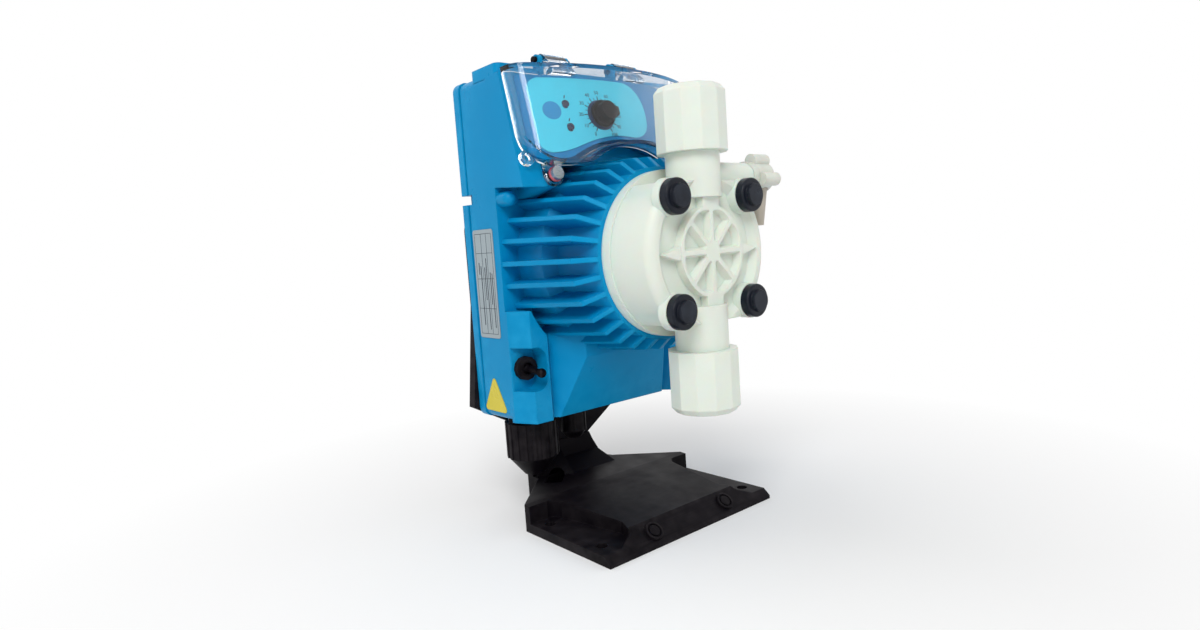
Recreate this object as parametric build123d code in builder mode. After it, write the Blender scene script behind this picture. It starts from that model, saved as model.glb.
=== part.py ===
"""Diaphragm metering pump with a finned housing, solenoid drive, ribbed pump head and foot bracket.

Millimetres. The origin is the centre of the foot's four fixing holes, on the underside of the foot.
+X is to the right of someone facing the control panel, -Y points out of the pump head, +Z is up.
"""

import os
from math import cos, radians, sin, sqrt, tan

from build123d import *

os.makedirs("parts", exist_ok=True)

# ---------------------------------------------------------------- driving dimensions
# clearances
joint_gap = 0.3          # between bodies that move past each other
running_fit = 0.05       # radial, shafts and pins in their bores
slip_fit = 0.1           # radial, parts dropped into a seat

# case
case_width = 107.0
case_floor = 52.0
case_roof = 211.0
case_corner = 4.5
wall = 3.0
housing_back = 55.0      # rear edge of the front housing
side_front = 31.5        # front edge of the flat sides
gasket_thickness = 0.6
gasket_inset = 1.2
rear_cover_depth = 4.9
case_screw_r = 1.6
case_screw_length = 16.0
case_head_r = 3.2
case_head_height = 2.4
case_screw_inset = 7.0
notch_z = 156.6
notch_height = 4.4
notch_depth = 4.5
notch_length = 3.0
notch_boss_r = 3.4
notch_boss_z = 154.8
notch_boss_front = 22.5

# fin drum round the drive, on the axis of the pump head
head_z = 125.6
ring_front = -19.5
ring_r = 38.5
drum_step = 10.5
drum_r = 44.3
fin_count = 32
fin_thickness = 2.2
fin_slope = 6.0
fin_front_reach = (48.5, 43.5)
fin_rear_height = 46.0
fin_inset = 0.5          # rear corner of the widest fin, from the case side
drive_bay_r = 28.0
ring_wall = 12.0

# lower front of the housing
chin_half = 25.3
chin_front = 9.2
chin_foot = 21.8
chin_break_z = 80.5
chin_top = 92.0
cheek_inset = 18.0       # inner edge of a cheek, from the case side
cheek_front = 19.5
cheek_bevel = 5.0
cheek_top = 104.0
cheek_clear_r = 52.0
pocket_z = 77.0
pocket_height = 20.0
pocket_floor = 30.0
pocket_inset = 12.9

# control panel and its cover
panel_tilt = 14.0
panel_bow = 112.0
cover_apex = -0.4
cover_back = 22.0
cover_inset = 1.5
cover_wall = 1.8
cover_corner = 8.0
cover_low_corner = 14.0
cover_floor = 167.0
cover_arch = 50.0
cover_blend = 11.0
cover_lead = 20.0        # start of the outline prism ahead of the cover's top edge
panel_setback = 11.5
panel_inset = 6.5
panel_thickness = 2.0
panel_margin = 3.0
decal_thickness = 0.4
decal_centre = (-11.9, 191.8)
decal_size = (51.6, 27.6)
decal_corner = 8.0
ear_x = 37.2
ear_z = 162.8
ear_boss_length = 23.0
loop_inset = 2.5         # spare lugs at the lower corners of the cover
loop_z = 170.3
loop_r = 3.4
ear_r = 4.6
ear_screw_r = 1.7
ear_bore_depth = 5.0
ear_thickness = 2.4
ear_bridge_reach = 3.2
ear_head_r = 3.0
ear_head_height = 2.0
seal_ring_margin = 0.4
seal_ring_height = 0.8
pin_half_length = 10.2
clip_x = 21.8
clip_width = 12.0
hinge_y = 25.0
hinge_z = 217.0
hinge_pin_r = 1.5
hinge_lug_r = 3.0
lug_r = 2.5
hinge_lug_width = 2.4
roof_step = (22.6, 45.0)
roof_step_height = 2.4
knob_x = -10.0
knob_z = 190.0
knob_r = 6.2
knob_height = 5.4
knob_skirt = 1.6
knob_seat = 0.9          # height of the knob above the panel's tangent plane
pot_shaft_r = 2.0
pot_body_depth = 5.0
pot_body = 16.0
lamp_proud = 0.6
led_x = -27.0
led_z = (194.8, 184.3)
led_r = 1.5
board_setback = 17.0
board_width = 72.0
board_height = 28.0
pot_bush_r = 3.5
board_thickness = 1.6

# toggle switch
toggle_inset = 6.9        # from the left side of the case
switch_width = 7.0
switch_height = 13.0
switch_depth = 14.0
toggle_ring_r = 5.6
toggle_ring_length = 3.4
toggle_bush_r = 3.0
toggle_length = 13.5
toggle_tip_r = 2.2
toggle_droop = 6.0
toggle_socket = 4.0
toggle_pin_r = 1.0
toggle_pin_half = 2.3

# plates on the left side of the case
label_centre = (45.2, 116.7)
label_size = (17.4, 51.0)
label_thickness = 0.3
sticker_centre = (45.6, 61.5)
sticker_r = 11.6

# cable glands
power_gland_inset = 15.5
gland_y = 40.5
power_gland_r = 12.75
power_gland_z = (23.0, 32.0, 49.6)
power_thread_r = 8.0
power_cable_r = 3.4
signal_gland_inset = 41.0
signal_gland_r = 7.0
signal_gland_z = (35.0, 38.6, 49.6)
signal_thread_r = 5.0
signal_cable_r = 2.2
gland_inside = 0.9       # length of a gland body past the case wall

# pump head
column_y = -39.5
head_r = 36.0
head_flat = 29.5
spacer_r = 36.7
spacer_length = 5.0
head_face = -47.5
head_edge = 4.0
rim_r = 30.6
hub_r = 19.2
hub_front = -48.6
dish_depth = 3.0
petal_count = 8
petal_depth = 3.4
petal_inner = 4.5
petal_outer = 16.0
rib_thickness = 2.2
neck_foot = 22.6          # from the head axis to the near end of a neck
bridge_half = 5.0
column_r = 11.5
bolt_offset = 22.9
bolt_r = 3.0
bolt_head_r = 5.0
bolt_head_height = 4.0
bolt_seat = -43.5
bolt_tip = -4.0
boss_r = 7.7
boss_front = -48.8
cap_r = 7.3
cap_height = 3.8
cap_button_r = 5.0
cap_button_height = 1.8
cap_spigot = 1.2

# valves and hose connections, measured out from the head axis
neck_reach = 58.0
nut_grip = 16.5          # how far a nut runs back over its neck
nut_overhang = 10.6      # how far it stands out past the neck
nut_r = 15.3
nut_sides = 12
nut_end_wall = 4.0
nut_chamfer = 2.6
nozzle_lift = 0.1
nozzle_flange = 1.2
hose_r = 6.2
valve_pocket_depth = 17.2
valve_r = 7.8
valve_bore_r = 4.35
valve_port_r = 2.8
ball_r = 4.0
ball_travel = 1.5
seat_height = 3.6
cage_roof = 2.0
o_ring_r = 1.3
duct_r = 3.5

# bleed valve
bleed_z = 157.3
bleed_body_r = 6.3
bleed_boss_end = 33.0
bleed_duct_r = 3.0
bleed_stem_r = 2.6
bleed_body_end = 36.4
bleed_knob_end = 47.2
bleed_knob_r = 10.4
bleed_lobes = 4
bleed_nozzle_x = 43.0
bleed_nozzle_tip = 22.0
bleed_nozzle_root_r = 4.6
bleed_nozzle_tip_r = 2.2

# solenoid drive
coil_r = 23.0
bobbin_bore_r = 12.0
bobbin_wall = 1.2
bobbin_flange = 1.5
yoke_r = 27.5
yoke_bore_r = 23.6
coil_front = -1.0
coil_length = 28.0
plunger_r = 11.7
plunger_gap = 2.0
spring_pocket = 4.5
spring_pitch = 2.1
rod_front = -20.0
yoke_end = 4.0
pole_rear = 10.0
plunger_length = 16.0
rod_r = 3.5
spring_wire = 0.9
spring_r = 6.0
diaphragm_r = 28.5
diaphragm_thickness = 3.0
diaphragm_hub_r = 8.0
chamber_r = 20.0
chamber_depth = 3.0

# foot bracket
foot_half = 52.8
foot_front = -30.8
foot_rear = 29.5
foot_edge = 4.6
foot_front_height = 9.5
foot_rear_height = 13.0
foot_bevel_run = 9.0
foot_tail = 56.0
foot_tail_half = 26.0
foot_hole_margin = 6.3
hole_spacing_y = 37.0
foot_hole_r = 2.6
foot_pocket_inner = 38.0
foot_pocket_front = -23.5
foot_pocket_rear = 25.5
plug_x = 23.5
plug_r = 3.5
plug_length = 1.6
plug_proud = 1.3
plug_ring_r = 4.2
arm_waist_half = 12.5
arm_waist_z = 29.0
arm_crease_z = 19.5
arm_leg_front = 46.0
arm_leg_half = 20.5
arm_leg_inner = 9.0
arm_flare_half = 33.0
arm_flare_z = 42.5
arch_r = 4.4
plate_half = 51.5
plate_low_half = 57.0
plate_flare_z = 106.0
plate_thickness = 5.0
plate_bottom = 51.0
plate_top = 150.0
bracket_screw_x = 30.0
bracket_screw_z = (75.0, 135.0)
bracket_screw_r = 2.0
bracket_screw_length = 8.0
bracket_boss_height = 5.0
bracket_head_height = 2.2

# ---------------------------------------------------------------- derived values
half_width = case_width / 2
fin_rear_reach = (half_width - fin_inset, fin_rear_height)
cheek_half = half_width - cheek_inset
pocket_inner = half_width - pocket_inset
cover_half = half_width - cover_inset
panel_half = half_width - panel_inset
loop_x = cover_half - loop_inset
power_gland = (power_gland_inset - half_width, gland_y)
signal_gland = (signal_gland_inset - half_width, gland_y)
nut_inner = neck_reach - nut_grip
nut_outer = neck_reach + nut_overhang
valve_seat_floor = neck_reach - valve_pocket_depth
hole_spacing_x = 2 * (foot_half - foot_hole_margin)
toggle_x = half_width - toggle_inset
tilt_slope = tan(radians(panel_tilt))
lamp_sink = (panel_bow - sqrt(panel_bow**2 - led_x**2)) * cos(radians(panel_tilt))
tilt_dir = (0, -sin(radians(panel_tilt)), -cos(radians(panel_tilt)))
tilt_length = (case_roof - case_floor) / cos(radians(panel_tilt))
cover_plate_back = cover_back + joint_gap
ear_neck = cover_floor + cover_wall - ear_z
spacer_front = ring_front - spacer_length
rear_cover_front = housing_back + gasket_thickness
case_back = rear_cover_front + rear_cover_depth
plate_front = case_back
plate_back = plate_front + plate_thickness
panel_apex = cover_apex + panel_setback
case_height = case_roof - case_floor
case_middle = (case_roof + case_floor) / 2
coil_back = coil_front + coil_length
yoke_back = coil_back + bobbin_flange + joint_gap + yoke_end
drive_floor = ring_front + ring_wall


def bowed(front, x):
    """Y of a bowed face with its apex at front, at a distance x from the middle."""
    return front + panel_bow - sqrt(panel_bow**2 - x**2)


def at_height(y, z):
    """Y at height z of a tilted face that stands at y at roof height."""
    return y - (case_roof - z) * tilt_slope


def front_plane(y):
    """Plane facing the front at the given y, with local x to the right and local y up."""
    return Plane.XZ.offset(-y)


def bowed_slab(front, back, half, corner, top=case_roof):
    """Solid with a bowed front and a flat back, leaning forward by the panel's tilt below its top."""
    with BuildPart() as slab:
        with BuildSketch(Plane.XY.offset(top)) as plan:
            with BuildLine():
                ThreePointArc((-half, bowed(front, half)), (0, front), (half, bowed(front, half)))
                Polyline(
                    (half, bowed(front, half)),
                    (half, back),
                    (-half, back),
                    (-half, bowed(front, half)),
                )
            make_face()
            fillet(plan.vertices().filter_by(lambda v: v.Y < back - 0.1), corner)
        extrude(amount=tilt_length, dir=tilt_dir)
    return slab.part


def window(margin, half, depth_from, depth_to):
    """Panel outline seen from the front, its lower edge arched over the fin drum, as a deep prism."""
    with BuildPart() as prism:
        with BuildSketch(front_plane(depth_to)) as outline:
            with Locations((0, (case_roof + cover_floor) / 2)):
                Rectangle(2 * (half - margin), case_roof - cover_floor - 2 * margin)
            with Locations((0, head_z)):
                Circle(cover_arch + margin, mode=Mode.SUBTRACT)
            arch_corners = outline.vertices().filter_by(lambda v: abs(v.X) < half - margin - 1)
            fillet(arch_corners, cover_blend)
            low_corners = outline.vertices().group_by(Axis.Y)[0].sort_by(Axis.X)
            fillet([low_corners[0], low_corners[-1]], cover_low_corner - margin)
        extrude(amount=depth_to - depth_from)
    return prism.part


def finish(part, name, color):
    """Label a finished piece, colour it and write its STEP file."""
    part.label = name
    part.color = Color(*color)
    export_step(part, f"parts/{name}.step")


BLUE = (0.02, 0.45, 0.75)
BLACK = (0.06, 0.06, 0.07)
IVORY = (0.92, 0.93, 0.86)
CLEAR = (0.85, 0.92, 0.95, 0.35)
STEEL = (0.7, 0.7, 0.72)
COPPER = (0.75, 0.42, 0.2)
RUBBER = (0.1, 0.1, 0.1)

# placing of repeated features
case_screws = [
    (side * (half_width - case_screw_inset), z)
    for side in (-1, 1)
    for z in (case_floor + case_screw_inset, case_roof - case_screw_inset)
]
bolt_places = [(x, head_z + z) for x in (-bolt_offset, bolt_offset) for z in (-bolt_offset, bolt_offset)]
bracket_screws = [(x, z) for x in (-bracket_screw_x, bracket_screw_x) for z in bracket_screw_z]
lug_offset = clip_width / 2 + joint_gap + hinge_lug_width / 2
lug_places = [side * clip_x + step for side in (-1, 1) for step in (-lug_offset, lug_offset)]
panel_plane = Plane(
    origin=(0, at_height(panel_apex, knob_z), knob_z),
    x_dir=(1, 0, 0),
    z_dir=(0, -cos(radians(panel_tilt)), sin(radians(panel_tilt))),
)
knob_on_panel = (knob_x, 0)
leds_on_panel = [(led_x, (z - knob_z) / cos(radians(panel_tilt))) for z in led_z]


def ear_plane(x, z=ear_z):
    """Plane on the housing's leaning shoulder under a screw ear of the cover, facing out."""
    return Plane(
        origin=(x, at_height(cover_plate_back, z), z),
        x_dir=(1, 0, 0),
        z_dir=(0, -cos(radians(panel_tilt)), sin(radians(panel_tilt))),
    )


arch_plane = Plane(
    origin=(
        (-foot_tail_half - arm_leg_inner) / 2,
        (plate_front - 3 + arm_leg_front) / 2,
        foot_rear_height - 1,
    ),
    x_dir=(1, -1, 0),
    z_dir=(1, 1, 0),
)


def plug_plane(x):
    """Plane on the foot's front bevel, half way up it, facing out."""
    rise = foot_front_height - 1.6
    return Plane(
        origin=(x, foot_front + foot_bevel_run / 2, (foot_front_height + 1.6) / 2),
        x_dir=(1, 0, 0),
        z_dir=(0, -rise, foot_bevel_run),
    )


# ---------------------------------------------------------------- front housing
# Back box, leaning panel shoulder, fascia pad, fin drum, chin and cheeks are joined into one shell.
shoulder_top = cover_plate_back
shoulder_low_z = ear_z - ear_r
fascia_pad = bowed_slab(panel_apex + panel_thickness, side_front, panel_half, cover_corner - panel_margin)
pad_window = window(panel_margin + joint_gap, cover_half, cover_apex, side_front)

with BuildPart() as housing:
    # back box
    with BuildSketch(front_plane(housing_back)) as back_outline:
        with Locations((0, case_middle)):
            RectangleRounded(case_width, case_height, case_corner)
    extrude(amount=housing_back - side_front)
    # leaning shoulder that carries the cover, its underside sloping back to the flat sides
    with BuildSketch(Plane.YZ.offset(-half_width)) as shoulder_side:
        with BuildLine():
            Polyline(
                (side_front + 1, case_roof - 2),
                (at_height(shoulder_top, case_roof - 2), case_roof - 2),
                (at_height(shoulder_top, shoulder_low_z), shoulder_low_z),
                (side_front + 1, shoulder_low_z + 2),
                close=True,
            )
        make_face()
    extrude(amount=case_width)
    # chin, leaning back towards its foot, with slanted flanks
    with BuildSketch(Plane.YZ.offset(-cheek_half)) as chin_side:
        with BuildLine():
            Polyline(
                (side_front + 1, case_floor),
                (chin_foot, case_floor),
                (chin_front, chin_break_z),
                (chin_front, chin_top),
                (side_front + 1, chin_top),
                close=True,
            )
        make_face()
    extrude(amount=2 * cheek_half)
    flank_run = (cheek_front + cheek_bevel - chin_front)
    with BuildSketch(Plane.XY.offset(case_floor)) as chin_flanks:
        for side in (-1, 1):
            with BuildLine():
                Polyline(
                    (side * chin_half, chin_front - 1),
                    (side * chin_half, chin_front),
                    (side * cheek_half, chin_front + flank_run),
                    (side * (cheek_half + 1), chin_front + flank_run),
                    (side * (cheek_half + 1), chin_front - 1),
                    close=True,
                )
            make_face()
    extrude(amount=chin_top - case_floor, mode=Mode.SUBTRACT)
    # cheeks either side of the chin
    with BuildSketch(Plane.XY.offset(case_floor)) as cheeks:
        for side in (-1, 1):
            with BuildLine():
                Polyline(
                    (side * half_width, side_front + 1),
                    (side * half_width, side_front - 1),
                    (side * (half_width - cheek_bevel), cheek_front),
                    (side * (cheek_half + cheek_bevel - 1), cheek_front),
                    (side * cheek_half, cheek_front + cheek_bevel),
                    (side * cheek_half, side_front + 1),
                    close=True,
                )
            make_face()
    extrude(amount=cheek_top - case_floor)
    # clear the fins from the shoulder and the cheeks
    with BuildSketch(front_plane(side_front)) as fin_clearance:
        with Locations((0, head_z)):
            Circle(cheek_clear_r)
        with Locations((0, case_floor)):
            Rectangle(2 * cheek_half, 2 * (chin_top - case_floor), mode=Mode.SUBTRACT)
        with Locations((0, head_z + cheek_clear_r)):
            Rectangle(2 * cover_arch, 2 * (cheek_clear_r - drum_r + 2), mode=Mode.SUBTRACT)
    extrude(amount=side_front - ring_front, mode=Mode.SUBTRACT)
    # rounded bosses in front of the side notches
    for side in (-1, 1):
        with BuildSketch(front_plane(side_front + 1)) as notch_boss:
            with Locations((side * (half_width - notch_boss_r), notch_boss_z)):
                Circle(notch_boss_r)
        extrude(amount=side_front + 1 - notch_boss_front - notch_boss_r)
        with Locations((side * (half_width - notch_boss_r), notch_boss_front + notch_boss_r, notch_boss_z)):
            Sphere(notch_boss_r)
    # fin drum
    with BuildSketch(Plane.YZ) as drum_profile:
        with BuildLine():
            Polyline(
                (ring_front, head_z),
                (ring_front, head_z + ring_r),
                (drum_step - 2, head_z + ring_r),
                (drum_step + 2, head_z + drum_r),
                (side_front + 1, head_z + drum_r),
                (side_front + 1, head_z),
                close=True,
            )
        make_face()
    revolve(axis=Axis((0, 0, head_z), (0, 1, 0)))
    # radial cooling fins
    for index in range(fin_count):
        angle = index * 360 / fin_count
        across = cos(radians(angle))
        up = sin(radians(angle))
        front_reach = 1 / sqrt((across / fin_front_reach[0]) ** 2 + (up / fin_front_reach[1]) ** 2)
        rear_reach = 1 / sqrt((across / fin_rear_reach[0]) ** 2 + (up / fin_rear_reach[1]) ** 2)
        fin_plane = Plane(origin=(0, 0, head_z), x_dir=(across, 0, up), z_dir=(up, 0, -across))
        with BuildSketch(fin_plane) as fin:
            with BuildLine():
                Polyline(
                    (ring_r - 4, -ring_front),
                    (ring_r, -ring_front),
                    (front_reach, -ring_front - fin_slope),
                    (rear_reach, -side_front),
                    (ring_r - 4, -side_front),
                    close=True,
                )
            make_face()
        extrude(amount=fin_thickness / 2, both=True)
    # bosses behind the cover's screw ears
    for x in (-ear_x, ear_x):
        with BuildSketch(ear_plane(x)) as ear_boss:
            Circle(ear_r)
        extrude(amount=-ear_boss_length)
    # fascia pad behind the control panel
    add(fascia_pad & pad_window)
    # step on the roof, with a bay for each hinge
    with BuildSketch(Plane.XY.offset(case_roof - 3)) as roof_pad:
        with Locations((0, (roof_step[0] + roof_step[1]) / 2)):
            RectangleRounded(case_width, roof_step[1] - roof_step[0], wall)
        with Locations((-clip_x, roof_step[0]), (clip_x, roof_step[0])):
            Rectangle(clip_width + 2 * hinge_lug_width + 2, 2 * (hinge_y + hinge_lug_r + 1 - roof_step[0]),
                      mode=Mode.SUBTRACT)
    extrude(amount=3 + roof_step_height)
    # hinge lugs
    for x in lug_places:
        with BuildSketch(Plane.YZ.offset(x - hinge_lug_width / 2)) as lug:
            with Locations((hinge_y, hinge_z)):
                Circle(lug_r)
            with Locations((hinge_y, (hinge_z + case_roof - 3) / 2)):
                Rectangle(2 * lug_r, hinge_z - case_roof + 3)
            with Locations((hinge_y, hinge_z)):
                Circle(hinge_pin_r + slip_fit, mode=Mode.SUBTRACT)
        extrude(amount=hinge_lug_width)
    # hollow behind, with a boss left in each corner for the case screws
    with BuildSketch(front_plane(housing_back)) as hollow:
        with Locations((0, case_middle)):
            RectangleRounded(case_width - 2 * wall, case_height - 2 * wall, case_corner - wall)
        with Locations(*case_screws):
            Circle(case_screw_inset, mode=Mode.SUBTRACT)
        with Locations((-half_width, notch_z), (half_width, notch_z)):
            Circle(notch_depth + wall, mode=Mode.SUBTRACT)
    extrude(amount=housing_back - side_front - wall, mode=Mode.SUBTRACT)
    # drive bay, rod passage and bolt holes along the head axis
    with BuildSketch(front_plane(side_front + wall)) as drive_bay:
        with Locations((0, head_z)):
            Circle(drive_bay_r)
    extrude(amount=side_front + wall - drive_floor, mode=Mode.SUBTRACT)
    with BuildSketch(front_plane(drive_floor)) as rod_passage:
        with Locations((0, head_z)):
            Circle(diaphragm_hub_r + 1)
    extrude(amount=ring_wall, mode=Mode.SUBTRACT)
    with BuildSketch(front_plane(bolt_tip)) as bolt_holes:
        with Locations(*bolt_places):
            Circle(bolt_r + slip_fit)
    extrude(amount=bolt_tip - ring_front, mode=Mode.SUBTRACT)
    # room for the circuit board behind the panel
    with BuildSketch(panel_plane.offset(-board_setback + pot_body_depth + 1)) as board_room:
        Rectangle(board_width + 2, board_height + 2)
    extrude(amount=-32, mode=Mode.SUBTRACT)
    # ways through the panel pad for the knob shaft and the lamps
    with BuildSketch(panel_plane.offset(6)) as panel_ways:
        with Locations(knob_on_panel):
            Circle(pot_bush_r + slip_fit)
        with Locations(*leds_on_panel):
            Circle(led_r + slip_fit)
    extrude(amount=-wall - 16, mode=Mode.SUBTRACT)
    # bores for the case screws, the cover screws and the glands
    with BuildSketch(front_plane(housing_back)) as case_bores:
        with Locations(*case_screws):
            Circle(case_screw_r + slip_fit)
    extrude(amount=case_screw_length, mode=Mode.SUBTRACT)
    for x in (-ear_x, ear_x):
        with BuildSketch(ear_plane(x)) as ear_bore:
            Circle(ear_screw_r + 1.2)
        extrude(amount=-ear_bore_depth, mode=Mode.SUBTRACT)
    with BuildSketch(Plane.XY.offset(case_floor - 1)) as gland_bores:
        with Locations(power_gland):
            Circle(power_thread_r + slip_fit)
        with Locations(signal_gland):
            Circle(signal_thread_r + slip_fit)
    extrude(amount=wall + 2, mode=Mode.SUBTRACT)
    # side notches for the clamp screws of the bracket
    for side in (-1, 1):
        with BuildSketch(front_plane(housing_back)) as notch:
            with Locations((side * half_width, notch_z)):
                Rectangle(2 * notch_depth, notch_height)
        extrude(amount=notch_length, mode=Mode.SUBTRACT)
    # pocket and bore for the toggle switch in the left cheek
    with BuildSketch(front_plane(pocket_floor)) as pocket:
        with Locations(((-half_width - pocket_inner) / 2 - 5, pocket_z)):
            RectangleRounded(half_width - pocket_inner + 10, pocket_height, 6)
    extrude(amount=pocket_floor - cheek_front + 1, mode=Mode.SUBTRACT)
    with BuildSketch(front_plane(side_front + wall + 1)) as toggle_bore:
        with Locations((-toggle_x, pocket_z)):
            Circle(toggle_bush_r + slip_fit)
    extrude(amount=side_front + wall + 1 - pocket_floor + 1, mode=Mode.SUBTRACT)
finish(housing.part, "front_housing", BLUE)

# ---------------------------------------------------------------- rear cover, gasket and screws
with BuildPart() as gasket:
    with BuildSketch(front_plane(rear_cover_front)) as gasket_ring:
        with Locations((0, case_middle)):
            RectangleRounded(
                case_width - 2 * gasket_inset,
                case_height - 2 * gasket_inset,
                case_corner - gasket_inset,
            )
            RectangleRounded(
                case_width - 2 * wall,
                case_height - 2 * wall,
                case_corner - wall,
                mode=Mode.SUBTRACT,
            )
        with Locations((-half_width, notch_z), (half_width, notch_z)):
            Rectangle(2 * notch_depth, notch_height + 2, mode=Mode.SUBTRACT)
    extrude(amount=gasket_thickness)
finish(gasket.part, "case_gasket", RUBBER)

with BuildPart() as rear_cover:
    with BuildSketch(front_plane(case_back)) as rear_outline:
        with Locations((0, case_middle)):
            RectangleRounded(case_width + 1, case_height + 1, case_corner)
        with Locations((-half_width - 0.5, notch_z), (half_width + 0.5, notch_z)):
            Rectangle(2 * notch_depth + 1, notch_height, mode=Mode.SUBTRACT)
    extrude(amount=rear_cover_depth)
    with BuildSketch(front_plane(rear_cover_front)) as bracket_bosses:
        with Locations(*bracket_screws):
            Circle(2 * bracket_screw_r)
    extrude(amount=bracket_boss_height)
    with BuildSketch(front_plane(case_back)) as bracket_bores:
        with Locations(*bracket_screws):
            Circle(bracket_screw_r + slip_fit)
    extrude(amount=bracket_screw_length, mode=Mode.SUBTRACT)
    with BuildSketch(front_plane(case_back)) as rear_screw_bores:
        with Locations(*case_screws):
            Circle(case_screw_r + slip_fit)
    extrude(amount=rear_cover_depth, mode=Mode.SUBTRACT)
    with BuildSketch(front_plane(case_back)) as rear_screw_sinks:
        with Locations(*case_screws):
            Circle(case_head_r + slip_fit)
    extrude(amount=case_head_height, mode=Mode.SUBTRACT)
finish(rear_cover.part, "rear_cover", BLUE)

with BuildPart() as case_screw_set:
    with BuildSketch(front_plane(case_back)) as case_heads:
        with Locations(*case_screws):
            Circle(case_head_r)
    extrude(amount=case_head_height)
    with BuildSketch(front_plane(case_back - case_head_height)) as case_shanks:
        with Locations(*case_screws):
            Circle(case_screw_r)
    extrude(amount=case_screw_length)
finish(case_screw_set.part, "case_screws", STEEL)

# ---------------------------------------------------------------- control panel
fascia_slab = bowed_slab(panel_apex, side_front, panel_half, cover_corner - panel_margin)
fascia_corner = cover_corner - panel_margin
fascia_back = bowed_slab(panel_apex + panel_thickness, side_front + 1, panel_half + 5, fascia_corner)
with BuildPart() as fascia:
    add(fascia_slab & pad_window)
    add(fascia_back, mode=Mode.SUBTRACT)
    add(housing.part, mode=Mode.SUBTRACT)
    with BuildSketch(panel_plane.offset(6)) as fascia_ways:
        with Locations(knob_on_panel):
            Circle(pot_bush_r + slip_fit)
        with Locations(*leds_on_panel):
            Circle(led_r + slip_fit)
    extrude(amount=-20, mode=Mode.SUBTRACT)
finish(fascia.part, "control_panel", BLUE)

decal_slab = bowed_slab(panel_apex - decal_thickness, side_front, panel_half, cover_corner - panel_margin)
with BuildPart() as decal:
    with BuildSketch(front_plane(side_front)) as decal_outline:
        with Locations(decal_centre):
            RectangleRounded(*decal_size, decal_corner)
        with Locations((0, head_z)):
            Circle(cover_arch + 2 * panel_margin, mode=Mode.SUBTRACT)
    extrude(amount=side_front - cover_apex, dir=(0, -1, 0))
    add(decal_slab, mode=Mode.INTERSECT)
    add(fascia_slab, mode=Mode.SUBTRACT)
    with BuildSketch(panel_plane.offset(6)) as decal_ways:
        with Locations(knob_on_panel):
            Circle(pot_bush_r + slip_fit)
        with Locations(*leds_on_panel):
            Circle(led_r + slip_fit)
    extrude(amount=-20, mode=Mode.SUBTRACT)
finish(decal.part, "panel_decal", (0.35, 0.75, 0.9))

with BuildPart() as board:
    with BuildSketch(panel_plane.offset(-board_setback)):
        Rectangle(board_width, board_height)
    extrude(amount=-board_thickness)
finish(board.part, "circuit_board", (0.05, 0.3, 0.12))

with BuildPart() as potentiometer:
    with BuildSketch(panel_plane.offset(-board_setback)):
        with Locations(knob_on_panel):
            RectangleRounded(pot_body, pot_body, 2)
    extrude(amount=pot_body_depth)
    with BuildSketch(panel_plane.offset(-board_setback)):
        with Locations(knob_on_panel):
            Circle(pot_bush_r)
    extrude(amount=board_setback + knob_seat - joint_gap)
    with BuildSketch(panel_plane.offset(-board_setback + 1)):
        with Locations(knob_on_panel):
            Circle(pot_shaft_r + running_fit)
    extrude(amount=board_setback + knob_seat, mode=Mode.SUBTRACT)
finish(potentiometer.part, "potentiometer", STEEL)

with BuildPart() as pot_shaft:
    with BuildSketch(panel_plane.offset(-board_setback + 1 + joint_gap)):
        with Locations(knob_on_panel):
            Circle(pot_shaft_r)
    extrude(amount=board_setback - 1 - joint_gap + knob_seat + 4)
finish(pot_shaft.part, "knob_shaft", STEEL)

with BuildPart() as knob:
    with BuildSketch(panel_plane.offset(knob_seat)):
        with Locations(knob_on_panel):
            Circle(knob_r)
    extrude(amount=knob_skirt)
    with BuildSketch(panel_plane.offset(knob_seat + knob_skirt)):
        with Locations(knob_on_panel):
            Circle(knob_r - 1.4)
        with Locations((knob_x + knob_r / 2, 0)):
            Rectangle(knob_r, knob_r * 0.75)
    extrude(amount=knob_height - knob_skirt, taper=8)
    with BuildSketch(panel_plane.offset(knob_seat)):
        with Locations(knob_on_panel):
            Circle(pot_shaft_r)
    extrude(amount=4, mode=Mode.SUBTRACT)
finish(knob.part, "rate_knob", BLACK)

with BuildPart() as lamps:
    with BuildSketch(panel_plane.offset(-board_setback)):
        with Locations(*leds_on_panel):
            Circle(led_r)
    extrude(amount=board_setback - lamp_sink + lamp_proud)
finish(lamps.part, "status_lamps", (0.1, 0.12, 0.14))

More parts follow.
